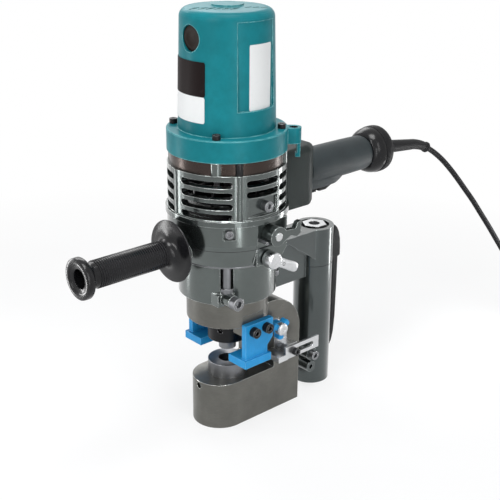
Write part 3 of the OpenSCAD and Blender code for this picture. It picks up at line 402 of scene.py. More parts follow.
def add_piece(name, shape, finish_names, body="machine", smooth=40):
    """Links a mesh, a mesh in the making or a curve as a piece at the origin, riding on a body."""
    data = finish_mesh(name, shape) if isinstance(shape, bmesh.types.BMesh) else shape
    piece = bpy.data.objects.new(name, data)
    scene.collection.objects.link(piece)
    names = [finish_names] if isinstance(finish_names, str) else finish_names
    data.materials.clear()
    for finish_name in names:
        data.materials.append(finishes[finish_name])
    if isinstance(data, bpy.types.Mesh):
        data.shade_smooth()
        data.set_sharp_from_angle(angle=math.radians(smooth))
    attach(piece, body)
    return piece


# %% [markdown]
# ## Turned pieces
# Most of the pieces added here are turned: a profile spun round an axis. A Screw modifier could do it, but a
# helper that turns any list of (distance along the axis, radius) into a closed mesh keeps the sizes in view.

# %% Turned pieces
def wall(bm, low, high):
    """Joins two rings with as many points by faces all the way round, and returns the faces."""
    pairs = list(zip(low, high))
    return [bm.faces.new((a, c, d, b)) for (a, b), (c, d) in zip(pairs, pairs[1:] + pairs[:1])]


def spin(bm, profile_mm, matrix, sides):
    """Spins (along, radius) points round the matrix's Z axis into closed rings of faces.
    A function in place of the matrix gives each ring's own, so that the axis can bend."""
    at = matrix if callable(matrix) else lambda along: moved(matrix, 0, 0, along)
    rings = []
    for along, radius in profile_mm:
        if radius < 1e-6:
            rings.append([bm.verts.new(at(along).translation)])
        else:
            spots = [on_circle(radius, 360 * k / sides, 0) for k in range(sides)]
            rings.append([bm.verts.new(at(along) @ (spot * MM)) for spot in spots])
    for low, high in zip(rings, rings[1:]):
        for k in range(sides):
            j = (k + 1) % sides
            corners = [low[k % len(low)], low[j % len(low)], high[j % len(high)], high[k % len(high)]]
            bm.faces.new(list(dict.fromkeys(corners)))


def turned(name, profile_mm, matrix, sides, finish, body="machine"):
    """Adds a piece that is one turned profile."""
    bm = bmesh.new()
    spin(bm, profile_mm, matrix, sides)
    return add_piece(name, bm, finish, body)


# %% [markdown]
# ## Things that repeat
# Ribs and knurls repeat one small shape many times. Copies could be placed in a loop, but a Geometry Nodes
# tree has its count and its sizes as inputs, and can serve several pieces. Its result is turned into a plain
# mesh, so that a piece stays one mesh.

# %% Helpers for Geometry Nodes
class Tree:
    """A Geometry Nodes tree with named inputs."""

    def __init__(self, name, **inputs):
        self.tree = bpy.data.node_groups.new(name, "GeometryNodeTree")
        face = self.tree.interface
        face.new_socket("Mesh", in_out="OUTPUT", socket_type="NodeSocketGeometry")
        kinds = {int: "NodeSocketInt", float: "NodeSocketFloat"}
        for key, value in inputs.items():
            face.new_socket(key, in_out="INPUT", socket_type=kinds[type(value)]).default_value = value
        face.new_socket("Finish", in_out="INPUT", socket_type="NodeSocketMaterial")
        self.inputs = self.tree.nodes.new("NodeGroupInput").outputs
        self.out = self.tree.nodes.new("NodeGroupOutput")

    def make(self, kind, settings=None, links=None, out=0):
        node = self.tree.nodes.new(kind)
        for key, value in (settings or {}).items():
            setattr(node, key, value)
        for key, value in (links or {}).items():
            if isinstance(value, bpy.types.NodeSocket):
                self.tree.links.new(value, node.inputs[key])
            else:
                node.inputs[key].default_value = value
        return node.outputs[out]

    def close(self, geometry):
        """Ends the tree: instances made real, and the finish set."""
        real = self.make("GeometryNodeRealizeInstances", None, {0: geometry})
        done = self.make("GeometryNodeSetMaterial", None, {"Geometry": real, "Material": self.inputs["Finish"]})
        self.tree.links.new(done, self.out.inputs[0])
        return self.tree


def tree_piece(name, tree, matrix, finish, body="machine", **values):
    """Adds what a tree makes as a piece. Whole numbers are counts, and the others are millimetres."""
    settings = {key: value if isinstance(value, int) else value * MM for key, value in values.items()}
    settings["Finish"] = finishes[finish]
    holder = bpy.data.objects.new(name, bpy.data.meshes.new(name))
    scene.collection.objects.link(holder)
    modifier = holder.modifiers.new("build", "NODES")
    modifier.node_group = tree
    for item in tree.interface.items_tree:
        if item.name in settings:
            modifier[item.identifier] = settings[item.name]
    mesh = bpy.data.meshes.new_from_object(holder.evaluated_get(bpy.context.evaluated_depsgraph_get()))
    holder.modifiers.remove(modifier)
    bpy.data.objects.remove(holder)
    mesh.transform(matrix)
    return add_piece(name, mesh, finish, body)


# %% [markdown]
# ## Mains lead
# The lead leaves the cord guard behind the switch handle, hangs, and lies down on the floor behind the tool.
# What the picture doesn't show is wound into a coil of seven turns in two layers, with a tie round it.
# A curve with a round bevel is the right tool for a cord, because its own line is the cord's centre.

# %% Mains lead
CORD_D = 8.0
CORD_FLOOR = CORD_D / 2 + 0.2
COIL_TURNS = 7.25
COIL_PITCH = CORD_D + 0.9
COIL_OUT = 46 + COIL_PITCH * COIL_TURNS / 4
COIL_CENTRE = Vector((635, -74, 0))
POINTS_A_TURN = 32
TAIL = 58
HANDLE_Z = 310
GUARD_LEN = 71
GUARD_DIP = math.radians(7)
guard_dir = Vector((math.cos(GUARD_DIP), 0, -math.sin(GUARD_DIP)))
guard_root = Vector((273, 0, HANDLE_Z))
guard_tip = guard_root + GUARD_LEN * guard_dir
hang = [guard_tip, guard_tip + CORD_D * guard_dir] + [Vector(p) for p in [
    (366, -1, 296.5), (381, -3, 289.5), (395, -6, 280), (408, -10, 268.5), (421, -15, 254), (433, -21, 238),
    (445, -28, 220), (457, -36, 201), (468, -44, 181), (479, -53, 160), (490, -62, 138), (501, -71, 116),
    (512, -80, 95), (523, -89, 74.5), (535, -99, 54), (546, -109, 36), (558, -118, 21), (572, -126.5, 10.5),
    (588, COIL_CENTRE.y - COIL_OUT + 2, CORD_FLOOR + 1),
    (COIL_CENTRE.x - 3 * CORD_D, COIL_CENTRE.y - COIL_OUT, CORD_FLOOR)]]


def coil_point(turns):
    """The lead's centre after some turns: inwards on the floor, then up a layer and outwards again."""
    half = COIL_TURNS / 2
    radius = COIL_OUT - COIL_PITCH * (half - abs(turns - half))
    climb = min(1, max(0, (turns - half) * 2 + 0.5))
    return COIL_CENTRE + on_circle(radius, 270 + 360 * turns, CORD_FLOOR + COIL_PITCH * climb)


def smooth_line(points, steps):
    """Catmull-Rom points between each pair, so that the lead has no corners."""
    line = []
    for i in range(len(points) - 1):
        p0, p1, p2, p3 = (points[max(0, min(len(points) - 1, j))] for j in range(i - 1, i + 3))
        for k in range(steps):
            t = k / steps
            line.append(0.5 * (2 * p1 + (p2 - p0) * t + (2 * p0 - 5 * p1 + 4 * p2 - p3) * t ** 2
                               + (3 * p1 - p0 - 3 * p2 + p3) * t ** 3))
    return line + [points[-1]]


coil = [coil_point(k / POINTS_A_TURN) for k in range(round(COIL_TURNS * POINTS_A_TURN) + 1)]
tail_end = coil[-1] + Y * TAIL
route = smooth_line(hang + coil[:1], 5)[:-1] + coil + [coil[-1] + Y * TAIL / 2, tail_end]
curve = bpy.data.curves.new("mains_lead", "CURVE")
curve.dimensions = "3D"
curve.bevel_depth = CORD_D / 2 * MM
curve.bevel_resolution = 6
curve.use_fill_caps = True
spline = curve.splines.new("POLY")
spline.points.add(len(route) - 1)
spline.use_smooth = True
for point, place in zip(spline.points, route):
    point.co = (*(place * MM), 1)
lead = add_piece("mains_lead", curve, "lead_jacket")
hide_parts("cord", "cord_coil")
lead_length = sum((b - a).length for a, b in zip(route, route[1:])) * MM
print("lead length:", round(lead_length, 4), "m")

# %% [markdown]
# ## Ring tree
# The plug and the side handle have rings that the fingers grip. Both come from one tree: a circle with a
# round section, set on each point of a line.

# %% Ring tree
ribs = Tree("rib_rings", Count=6, Step=0.005, Radius=0.01, Width=0.0015)
line = ribs.make("GeometryNodeMeshLine", {"mode": "OFFSET"}, {
    "Count": ribs.inputs["Count"],
    "Offset": ribs.make("ShaderNodeCombineXYZ", None, {"Z": ribs.inputs["Step"]})})
dots = ribs.make("GeometryNodeMeshToPoints", None, {"Mesh": line})
ring = ribs.make("GeometryNodeCurvePrimitiveCircle", None, {"Resolution": 40, "Radius": ribs.inputs["Radius"]})
section = ribs.make("GeometryNodeCurvePrimitiveCircle", None, {"Resolution": 8, "Radius": ribs.inputs["Width"]})
rings = ribs.make("GeometryNodeInstanceOnPoints", None, {"Points": dots, "Instance": ring})
curves = ribs.make("GeometryNodeRealizeInstances", None, {0: rings})
beads = ribs.make("GeometryNodeCurveToMesh", None, {"Curve": curves, "Profile Curve": section})
rib_tree = ribs.close(beads)
print("ring tree:", len(rib_tree.nodes), "nodes")

# %% [markdown]
# ## Cord guard
# Where the lead leaves the handle, a soft rubber taper with a bead at its end keeps it from kinking. A
# straight cone would cut through the hanging lead, so each ring of the profile gets its own frame, and the
# outer part bends with the lead.

# %% Cord guard
def along_guard(along):
    """The frame at a distance along the guard: straight at first, then bending with the lead."""
    start, rest = guard_root, along
    if along > GUARD_LEN:
        rest = along - GUARD_LEN
        for start, end in zip(route, route[1:]):
            if rest <= (end - start).length:
                return frame_at(start + (end - start).normalized() * rest, end - start)
            rest -= (end - start).length
    return frame_at(start + guard_dir * rest, guard_dir)


GUARD_OUT = 108
GUARD_BORE_R = 4.1
profile = [(-4, 0), (-4, 5.9), (2, 5.9), (2, 8.6), (2.6, 9.3), (4, 9.5), (24, 9.0), (48, 8.3), (66, 7.7)]
profile += [(k, 7.6 - 0.03 * (k - 70)) for k in range(70, GUARD_OUT - 6, 4)]
bead = [(-5.8, 6.5), (-4.6, 7.3), (-3.6, 7.7), (-1.6, 7.7), (-0.6, 7.1), (-0.3, 6.2), (-0.3, GUARD_BORE_R)]
profile += [(GUARD_OUT + k, r) for k, r in bead]
profile += [(k, GUARD_BORE_R) for k in range(GUARD_OUT - 6, GUARD_LEN + 2, -6)]
profile += [(GUARD_LEN - 0.2, GUARD_BORE_R), (GUARD_LEN - 0.5, 0)]
guard = turned("cord_guard_piece", profile, along_guard, 48, "rubber")
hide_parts("cord_guard")
print("cord guard:", GUARD_OUT, "mm long")

# %% [markdown]
# ## Plug
# The plug isn't in the picture, so it is a plain moulded one: a turned body with grip ribs and two flat
# blades. The blades are bevelled boxes in the same mesh, with a second finish.

# %% Plug
PLUG_LEN, PLUG_R = 38, 12
BLADE = Vector((1.5, 6.4, 17)) * MM
BLADE_APART = 12.7
plug_frame = frame_at(tail_end, Y, Z)
bm = bmesh.new()
spin(bm, [(-0.5, 0), (-0.5, 6.0), (0, 6.6), (1, 7), (11, 11.2), (13, PLUG_R), (35, PLUG_R), (37, 11.4),
          (PLUG_LEN, 10), (PLUG_LEN, 0)], plug_frame, 48)
for side in (-1, 1):
    blade = bmesh.ops.create_cube(bm, size=1.0)["verts"]
    bmesh.ops.scale(bm, vec=BLADE, verts=blade)
    stand = moved(plug_frame, 0, side * BLADE_APART / 2, PLUG_LEN + 8.5)
    bmesh.ops.transform(bm, matrix=stand, verts=blade)
    edges = [e for e in bm.edges if all(v in blade for v in e.verts)]
    bevel = bmesh.ops.bevel(bm, geom=edges, offset=0.4 * MM, segments=2, affect="EDGES")
    for face in bevel["faces"]:
        face.material_index = 1
for face in bm.faces:
    if (plug_frame.inverted() @ face.calc_center_median()).z > (PLUG_LEN + 0.3) * MM:
        face.material_index = 1
plug = add_piece("plug_piece", bm, ["rubber", "bright_steel"])
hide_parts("plug")
plug_ribs = tree_piece("plug_ribs", rib_tree, moved(plug_frame, 0, 0, 16), "rubber",
                       Count=5, Step=4.2, Radius=12.0, Width=0.9)
print("plug at", [round(v) for v in tail_end])

# %% [markdown]
# ## Coil tie
# A flat strap holds the coil together. It is a band with rounded corners, made as two loops round the turns
# of the lead on that side, because a ring would not follow the flat stack.

# %% Coil tie
TIE_GAP, TIE_THICK, TIE_CORNER, TIE_HALF_WIDTH = 0.3, 0.9, 3.5, 6.0
inner = COIL_OUT - COIL_PITCH * COIL_TURNS / 2 - CORD_D / 2 - TIE_GAP
outer = COIL_OUT + CORD_D / 2 + TIE_GAP
top = CORD_FLOOR + COIL_PITCH + CORD_D / 2 + TIE_GAP


def strap_loop(grow, floor):
    """Points of the strap's section round the coil, going once round it."""
    left, right = inner - grow + TIE_CORNER, outer + grow - TIE_CORNER
    low, high = floor + TIE_CORNER, top + grow - TIE_CORNER
    loop = []
    for cx, cz, start in [(right, high, 0), (left, high, 90), (left, low, 180), (right, low, 270)]:
        for turn in range(start, start + 91, 15):
            bend = on_circle(TIE_CORNER, turn, 0)
            loop.append((cx + bend.x, cz + bend.y))
    return loop


bm = bmesh.new()
loops = [strap_loop(0, 0.17), strap_loop(TIE_THICK, 0.02)]
near, far = [[[bm.verts.new((COIL_CENTRE + Vector((-r, y, z))) * MM) for r, z in loop] for loop in loops]
             for y in (-TIE_HALF_WIDTH, TIE_HALF_WIDTH)]
for a, b in ((near[0], near[1]), (near[1], far[1]), (far[1], far[0]), (far[0], near[0])):
    wall(bm, a, b)
tie = add_piece("coil_tie", bm, "black_plastic")
print("coil:", round(2 * outer), "mm across")

# %% [markdown]
# ## Plates on the motor cup
# Two thin plates lie on the cup: a white one in the front pocket, and a rating plate, black above and white
# below, wrapped round the left side. Both are left bare. A plate is a grid of points pushed out along the
# cup's own surface, with a rounded outline, so that it follows the slight taper.

# %% Plates on the motor cup
CUP_LOW, CUP_HIGH, POCKET_R = (387.0, 58.0), (515.0, 54.8), 54.5
PLATE_LIFT, PLATE_THICK, PLATE_STEP = 0.15, 0.5, 2.0


def cup_radius(z):
    share = (z - CUP_LOW[0]) / (CUP_HIGH[0] - CUP_LOW[0])
    return CUP_LOW[1] + (CUP_HIGH[1] - CUP_LOW[1]) * share


def pocket_radius(z):
    return POCKET_R


def rim_of(rows):
    """The outer points of a grid, once round."""
    return rows[0] + [row[-1] for row in rows[1:]] + rows[-1][-2::-1] + [row[0] for row in rows[-2:0:-1]]


def add_plate(name, radius_at, middle_turn, middle_z, width, height, corner, finish):
    """Adds a thin plate with round corners on a round surface, which a radius at each height gives."""
    across, up = int(width / PLATE_STEP), int(height / PLATE_STEP)
    bm = bmesh.new()
    layers = []
    for proud in (PLATE_LIFT, PLATE_LIFT + PLATE_THICK):
        rows = []
        for j in range(up + 1):
            v = height * (j / up - 0.5)
            over = max(0, abs(v) - (height / 2 - corner))
            half = width / 2 - corner + math.sqrt(max(0, corner ** 2 - over ** 2))
            row = []
            for i in range(across + 1):
                turn = middle_turn + math.degrees(2 * half * (i / across - 0.5) / radius_at(middle_z))
                spot = on_circle(radius_at(middle_z + v) + proud, turn, middle_z + v)
                row.append(bm.verts.new(spot * MM))
            rows.append(row)
        layers.append(rows)
    for rows in layers:
        for low, high in zip(rows, rows[1:]):
            for i in range(across):
                bm.faces.new((low[i], low[i + 1], high[i + 1], high[i]))
    wall(bm, rim_of(layers[0]), rim_of(layers[1]))
    piece = add_piece(name, bm, finish)


def plate_finish(name, colour, rough, fleck, spec):
    """Printed foil: even colour, a faint roller texture and rubbed flecks."""
    material, tool, shader = new_finish(name)
    rub = tool.noise(240, 4, 0.65).clip(0.58, 0.78)
    base = (rub * 0.5).blend(colour, fleck)
    bump = tool.bump(0.04, 0.0002, tool.noise(1500, 2))
    plug_in(tool, shader, Base_Color=base, Roughness=rough + rub * 0.2, Normal=bump, Specular_IOR_Level=spec)
    finishes[name] = material


plate_finish("white_foil", (0.76, 0.77, 0.77), 0.45, (0.66, 0.67, 0.67), 0.2)
plate_finish("black_foil", (0.012, 0.008, 0.008), 0.45, (0.03, 0.025, 0.025), 0.05)
FRONT_TURN, FRONT_Z = 274.4, 453
SIDE_TURN, SIDE_WIDTH = 171.8, 62.8
add_plate("front_plate", pocket_radius, FRONT_TURN, FRONT_Z, 34, 74, 0.8, "white_foil")
add_plate("side_plate_black", cup_radius, SIDE_TURN, 451.5, SIDE_WIDTH, 39, 1.2, "black_foil")
add_plate("side_plate_white", cup_radius, SIDE_TURN, 417.0, SIDE_WIDTH, 30, 1.2, "white_foil")
print("plates on the cup: 3")

# %% [markdown]
# ## Side handle
# The handle on the left is moulded plastic on a steel stud: a thin dished guard, a slim barrel with fine
# grip rings, and a hollow flange at the free end. It is a turned shape, so it is spun, and the fine rings
# come from the ring tree, which keeps them evenly spaced.

# %% Side handle
SIDE_Z, BOSS_X = 250, 80
BARREL_START, BARREL_LEN, BARREL_R, BARREL_STEPS = 20, 98, 15.3, 20
side_frame = frame_at((-BOSS_X, 0, SIDE_Z), -X, Z)
barrel = []
for k in range(BARREL_STEPS + 1):
    share = k / BARREL_STEPS
    barrel.append((BARREL_START + BARREL_LEN * share, BARREL_R + math.sin(math.pi * share)))
side_profile = [
    (0.0, 0), (0.0, 14.4), (0.6, 15.0), (2.6, 15.4), (4.0, 22), (5.0, 30), (5.7, 36), (6.3, 37.6), (7.2, 38),
    (8.1, 37.6), (8.6, 36), (9.0, 30), (9.8, 24), (11.2, 20), (13.5, 17.6), (16, 16.2)] + barrel + [
    (119.5, 15.0), (121, 15.0), (123, 15.5), (125.5, 17.8), (127, 21.2), (128.2, 23.6), (129.6, 24.5),
    (134.6, 24.5), (136.3, 24.0), (137, 22.8), (137, 17.0), (136.4, 16.2), (135.6, 15.9), (135.2, 14.8),
    (135.0, 12.6), (134.2, 11.4), (132.5, 11.0), (113, 11.0), (112, 10), (112, 0)]
side_piece = turned("side_handle_piece", side_profile, side_frame, 72, "black_plastic")
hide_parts("side_handle")
tree_piece("side_handle_rings", rib_tree, moved(side_frame, 0, 0, 24), "rubber",
           Count=31, Step=3.0, Radius=15.7, Width=0.75)

# %% [markdown]
# ## Bell behind the switch grip
# Behind the grip a glossy bell flares out and keeps the hand off the lead. A matt rubber ring closes it.

# %% Bell and its ring
BELL_X = 239
bell_frame = frame_at((BELL_X, 0, HANDLE_Z), X, Z)
bell = turned("bell_dome", [
    (0.1, 0), (0.1, 22.4), (0.6, 23.6), (3, 26.0), (7, 28.6), (11.5, 30.4), (15.5, 31.2), (17.6, 31.3),
    (18.4, 30.6), (18.6, 29.6), (20, 29.6), (20, 0)], bell_frame, 72, "black_plastic")
turned("bell_ring", [
    (18.9, 0), (18.9, 30.4), (19.5, 31.5), (20.6, 32), (28, 32), (31.2, 31.4), (33.2, 29.8), (34, 27.4),
    (34, 11), (33.4, 9.8), (32.4, 9.4), (31, 9.4), (31, 0)], bell_frame, 72, "rubber")
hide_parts("end_bell")
print("side handle, bell and ring made")

# %% [markdown]
# ## Slabs, lofts and ridges
# The controls need shapes that aren't turned. A flat outline with a thickness and rounded edges makes wings
# and slabs, and a row of rounded sections joined into a skin makes what swells and thins. A second tree
# repeats one upright ridge on a circle, for knurls and screw bosses.

# %% Slabs, lofts and the ridge tree
def prism(bm, outline_mm, low, high, matrix):
    """A flat outline given a thickness along the matrix's Z. Returns its edges."""
    rims = [[bm.verts.new(matrix @ (Vector((x, y, h)) * MM)) for x, y in outline_mm] for h in (low, high)]
    faces = [bm.faces.new(rims[0][::-1]), bm.faces.new(rims[1])] + wall(bm, *rims)
    bmesh.ops.recalc_face_normals(bm, faces=faces)
    return list(dict.fromkeys(edge for face in faces for edge in face.edges))


def soften(bm, edges, round_mm, segments):
    bmesh.ops.bevel(bm, geom=edges, offset=round_mm * MM, segments=segments, profile=0.5, affect="EDGES")


def loft(bm, sections, matrix, points, power):
    """Joins rounded sections (x, y, z, half width, half height) along X, and closes both ends."""
    rings = []
    for x, y, z, wide, high in sections:
        ring = []
        for k in range(points):
            t = math.tau * k / points
            c, s = math.cos(t), math.sin(t)
            reach = (abs(c) ** power + abs(s) ** power) ** (-1 / power)
            ring.append(bm.verts.new(matrix @ (Vector((x, y + wide * c * reach, z + high * s * reach)) * MM)))
        rings.append(ring)
    bm.faces.new(rings[0])
    bm.faces.new(rings[-1][::-1])
    for low, high in zip(rings, rings[1:]):
        wall(bm, low, high)


ridges = Tree("knurl_ridges", Count=24, Radius=0.006, Length=0.008, Width=0.0008, Sides=8)
circle = ridges.make("GeometryNodeMeshCircle", None, {
    "Vertices": ridges.inputs["Count"], "Radius": ridges.inputs["Radius"]})
spots = ridges.make("GeometryNodeMeshToPoints", None, {"Mesh": circle})
ridge = ridges.make("GeometryNodeMeshCylinder", None, {
    "Vertices": ridges.inputs["Sides"], "Radius": ridges.inputs["Width"],
    "Depth": ridges.inputs["Length"]}, "Mesh")
knurl = ridges.make("GeometryNodeInstanceOnPoints", None, {"Points": spots, "Instance": ridge})
ridge_tree = ridges.close(knurl)
print("ridge tree:", len(ridge_tree.nodes), "nodes")

# %% [markdown]
# ## Release lever
# The lever that lets the oil back is a plated tongue on a round hub. It swells and thins towards its tip, so
# its sections are lofted, and a set screw holds it on its spindle.

# %% Release lever
RELEASE_AT = (3, -71, 239)
TONGUE_DIP = math.radians(27)
tongue_dir = Vector((math.cos(TONGUE_DIP), 0, -math.sin(TONGUE_DIP)))
release_frame = frame_at(RELEASE_AT, -Y, tongue_dir)
bm = bmesh.new()
spin(bm, [(0.2, 0), (0.2, 9.6), (0.6, 10.2), (1.4, 10.5), (11.4, 10.5), (13.0, 10.1), (14.2, 9.0), (14.6, 7.4),
          (14.6, 0)], release_frame, 48)
loft(bm, [(2, 0, 7.4, 6.6, 5.2), (9, 0, 7.6, 6.5, 5.2), (14, 0, 7.8, 6.2, 5.0), (20, 0, 8.1, 6.0, 4.6),
          (27, 0, 8.4, 6.1, 4.2), (33, 0, 8.6, 6.4, 3.8), (38, 0, 8.7, 6.4, 3.4), (41.5, 0, 8.7, 5.8, 3.0),
          (43.6, 0, 8.7, 4.6, 2.4), (44.6, 0, 8.7, 2.8, 1.5)], release_frame, 28, 2.6)
release = add_piece("release_tongue", bm, "bright_steel", "release_lever")
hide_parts("release_lever")
turned("release_set_screw", [
    (-2.0, 0), (-2.0, 1.3), (0.1, 1.5), (0.1, 2.2), (-0.6, 2.5), (-3.0, 2.5), (-3.0, 0)],
       moved(release_frame, 16, 0, 12.75), 24, "black_screw", "release_lever")

# %% [markdown]
# ## Gauge clamp knob
# The knob that clamps the gauge has three blue wings round a bright knurled nut. The knurl is made of real
# ridges, because a bump in the finish would leave the outline smooth.

# %% Gauge clamp knob
KNOB_AT = (42.5, -41.3, 127)
WING = [(3, -3.6), (11.6, -4.2), (13.8, -3.7), (14.6, -2.2), (14.6, 2.2), (13.8, 3.7), (11.6, 4.2), (3, 3.6)]
WING_LOW, WING_HIGH, WING_ROUND = 4.6, 14.8, 0.9
knob_frame = frame_at(KNOB_AT, -Y, X)
bm = bmesh.new()
spin(bm, [(-14, 0), (-14, 3.8), (-0.5, 3.8), (-0.2, 7.6), (0.6, 8.4), (9.5, 8.5), (10.2, 7.8), (10.2, 0)],
     knob_frame, 40)
for angle in (30, 150, 270):
    turn = Matrix.Rotation(math.radians(angle), 4, "Z")
    soften(bm, prism(bm, WING, WING_LOW, WING_HIGH, knob_frame @ turn), WING_ROUND, 3)
knob = add_piece("knob_wings", bm, "blue_steel", "wing_knob")
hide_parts("wing_knob")
turned("knob_nut", [(9.5, 0), (9.5, 7.2), (10.4, 7.5), (17.0, 7.5), (18.4, 7.0), (19.0, 6.0), (19.0, 2.6),
                    (17.6, 2.4), (17.6, 0)], knob_frame, 40, "bright_steel", "wing_knob")
tree_piece("knob_knurl", ridge_tree, moved(knob_frame, 0, 0, 13.8), "bright_steel", "wing_knob",
           Count=24, Radius=7.4, Length=6.6, Width=0.75, Sides=8)
print("release lever and clamp knob made")

# %% [markdown]
# ## Switch grip
# The grip is a round barrel with a deeper housing under it for the trigger, and the two meet in a seam. The
# barrel is spun and the housing is lofted from rounded sections. The trigger's slot is cut out of both with a
# Boolean, which is simpler than building the skin round a hole.

# %% Switch grip
GRIP_START, HOUSING_TOP = 125, 306
SLOT = ((150, -8.6, 268), (191, 8.6, 297))


def cut_box(mesh, low_mm, high_mm):
    """The mesh with a box taken out of it."""
    bm = bmesh.new()
    low, high = Vector(low_mm) * MM, Vector(high_mm) * MM
    for vert in bmesh.ops.create_cube(bm, size=1.0)["verts"]:
        vert.co = (low + high) / 2 + Vector([c * (b - a) for c, a, b in zip(vert.co, low, high)])
    holders = []
    for name, data in (("body", mesh), ("cutter", finish_mesh("cutter", bm))):
        holders.append(bpy.data.objects.new(name, data))
        scene.collection.objects.link(holders[-1])
    cut = holders[0].modifiers.new("cut", "BOOLEAN")
    cut.operation, cut.object, cut.solver = "DIFFERENCE", holders[1], "EXACT"
    done = bpy.data.meshes.new_from_object(holders[0].evaluated_get(bpy.context.evaluated_depsgraph_get()))
    for holder in holders:
        bpy.data.objects.remove(holder)
    return done


bm = bmesh.new()
spin(bm, [(0.1, 0), (0.1, 22.6), (0.9, 23.4), (3, 23.8), (36, 24), (80, 23.8), (104, 23.3), (111, 23.0),
          (113.4, 22.2), (114, 21.4), (114, 0)], frame_at((GRIP_START, 0, HANDLE_Z), X, Z), 80)
barrel_mesh = finish_mesh("grip_barrel", bm)
bm = bmesh.new()
housing = [(125.2, 281.2, 17.6), (126.4, 280.6, 18.4), (140, 280.6, 18.6), (160, 280.7, 18.4),
           (171, 281.0, 18.0), (176, 281.8, 17.5), (181, 284.0, 17.0), (186, 287.0, 16.4),
           (190, 290.0, 15.6), (193, 293.0, 14.2)]
loft(bm, [(x, 0, (low + HOUSING_TOP) / 2, wide, (HOUSING_TOP - low) / 2) for x, low, wide in housing],
     Matrix.Identity(4), 48, 4.0)
housing_mesh = finish_mesh("grip_housing", bm)
grip = add_piece("grip_barrel", cut_box(barrel_mesh, *SLOT), "grip_plastic", smooth=30)
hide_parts("switch_grip")
add_piece("grip_housing", cut_box(housing_mesh, *SLOT), "grip_plastic", smooth=30)
print("grip:", len(grip.data.polygons), "faces in the barrel")

# %% [markdown]
# ## Bracket
# The bracket that carries the grip is a block with chamfered sides, hollowed to sit on the round motor. It
# is one outline given a height, and then its outer edges are bevelled, the top ones most.

# %% Bracket
BRACKET_LOW, BRACKET_HIGH = 273, 350
HOLLOW_R, HOLLOW_TURN, HOLLOW_STEPS = 75.5, 27.6, 16


def outer_edges(bm, z, reach):
    """Edges away from the hollow whose middle lies within a reach of a height."""
    found = []
    for edge in bm.edges:
        middle = (edge.verts[0].co + edge.verts[1].co) / 2 / MM
        if abs(middle.z - z) < reach and math.hypot(middle.x, middle.y) > HOLLOW_R + 2.5:
            found.append(edge)
    return found


bm = bmesh.new()
hollow = [on_circle(HOLLOW_R, HOLLOW_TURN * (1 - 2 * k / HOLLOW_STEPS), 0) for k in range(HOLLOW_STEPS + 1)]
outline = [(p.x, p.y) for p in hollow] + [(108, -35), (125, -22), (125, 22), (108, 35)]
prism(bm, outline, BRACKET_LOW, BRACKET_HIGH, Matrix.Identity(4))
soften(bm, outer_edges(bm, HANDLE_Z, 10), 4, 4)
soften(bm, outer_edges(bm, BRACKET_HIGH, 0.1), 9, 6)
soften(bm, outer_edges(bm, BRACKET_LOW, 0.1), 2, 3)
bracket = add_piece("bracket_block", bm, "bracket_plastic", smooth=35)
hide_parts("handle_bracket")
print("bracket:", BRACKET_HIGH - BRACKET_LOW, "mm tall")

# %% [markdown]
# ## Brush caps and band trim
# The brush caps lie a little inside their holes, so the paint shows round them as a bright rim. On the brown
# band the screw bosses are bare metal, repeated by the ridge tree, and a black clip stands between two of
# them.

# %% Brush caps, bosses and clip
CAP_X, CAP_Z = 48.9, 495
BAND_LOW, BAND_HIGH = 346, 361
BOSS_R, BOSS_TURN = 65.0, 38.8
CLIP_R, CLIP_TURN = 68.6, 241
bm = bmesh.new()
for side in (-1, 1):
    spin(bm, [(0, 0), (0, 14.9), (2.0, 14.9), (2.5, 14.4), (2.7, 13.6), (2.7, 8.5), (2.3, 8.0), (2.3, 0)],
         frame_at((side * CAP_X, 0, CAP_Z), X * side, Z), 56)
caps = add_piece("brush_cap_pieces", bm, "cap_brown")
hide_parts("brush_caps")
boss_frame = moved(Matrix.Rotation(math.radians(BOSS_TURN), 4, "Z"), 0, 0, (BAND_LOW + BAND_HIGH) / 2)
tree_piece("band_bosses", ridge_tree, boss_frame, "cast_grey",
           Count=4, Radius=BOSS_R, Length=14.8, Width=7.25, Sides=40)
turned("band_clip", [(0.2, 0), (0.2, 4.2), (0.8, 4.6), (13.6, 4.6), (14.4, 4.2), (14.6, 3.2), (14.6, 0)],
       frame_at(on_circle(CLIP_R, CLIP_TURN, BAND_LOW), Z, X), 32, "black_plastic")
print("brush caps, band bosses and clip made")

# %% [markdown]
# ## Seams, lip and painted shade in the lug holes
# Thin hoops draw the joints on the vent housing and the column, and the lip under the pump casing. Grooves
# in the solids would do too, but a hoop that is half sunk needs no change to them. The holes in the lugs
# get dark liners, which paint the shade inside them.

# %% Seams, casing lip and painted shade in the lug holes
COLUMN_X, COLUMN_R, COLUMN_SEAM_Z = 153, 26.0, 174.6
VENT_R, VENT_SEAM_Z = 71.0, 253.6
LIP_R, LIP_Z = 64.3, 230.1
LUG_R, LUG_TURN, LUG_LOW = 79, 41, 367.2


def hoop(bm, radius, z, high, x=0):
    """A thin ring round an upright cylinder, half sunk in it."""
    spin(bm, [(0, radius - 1), (0, radius + 0.15), (high * 0.3, radius + 0.35), (high * 0.7, radius + 0.35),
              (high, radius + 0.15), (high, radius - 1)], frame_at((x, 0, z), Z, X), 96)


bm = bmesh.new()
hoop(bm, VENT_R, VENT_SEAM_Z, 0.8)
hoop(bm, COLUMN_R, COLUMN_SEAM_Z, 0.7, COLUMN_X)
add_piece("seam_lines", bm, "black_plastic")
bm = bmesh.new()
hoop(bm, LIP_R, LIP_Z, 2.2)
add_piece("casing_lip", bm, "tool_steel")
# Thin black tubes inside the lug holes paint the shade in them.
bm = bmesh.new()
for side in (-1, 1):
    spin(bm, [(0, 5.45), (18.4, 5.45), (18.4, 5.0), (0, 5.0), (0, 5.45)],
         frame_at(on_circle(LUG_R, LUG_TURN * side, LUG_LOW), Z, X), 36)
add_piece("lug_hole_shade", bm, "black_plastic")
print("seam lines, casing lip and lug liners made")

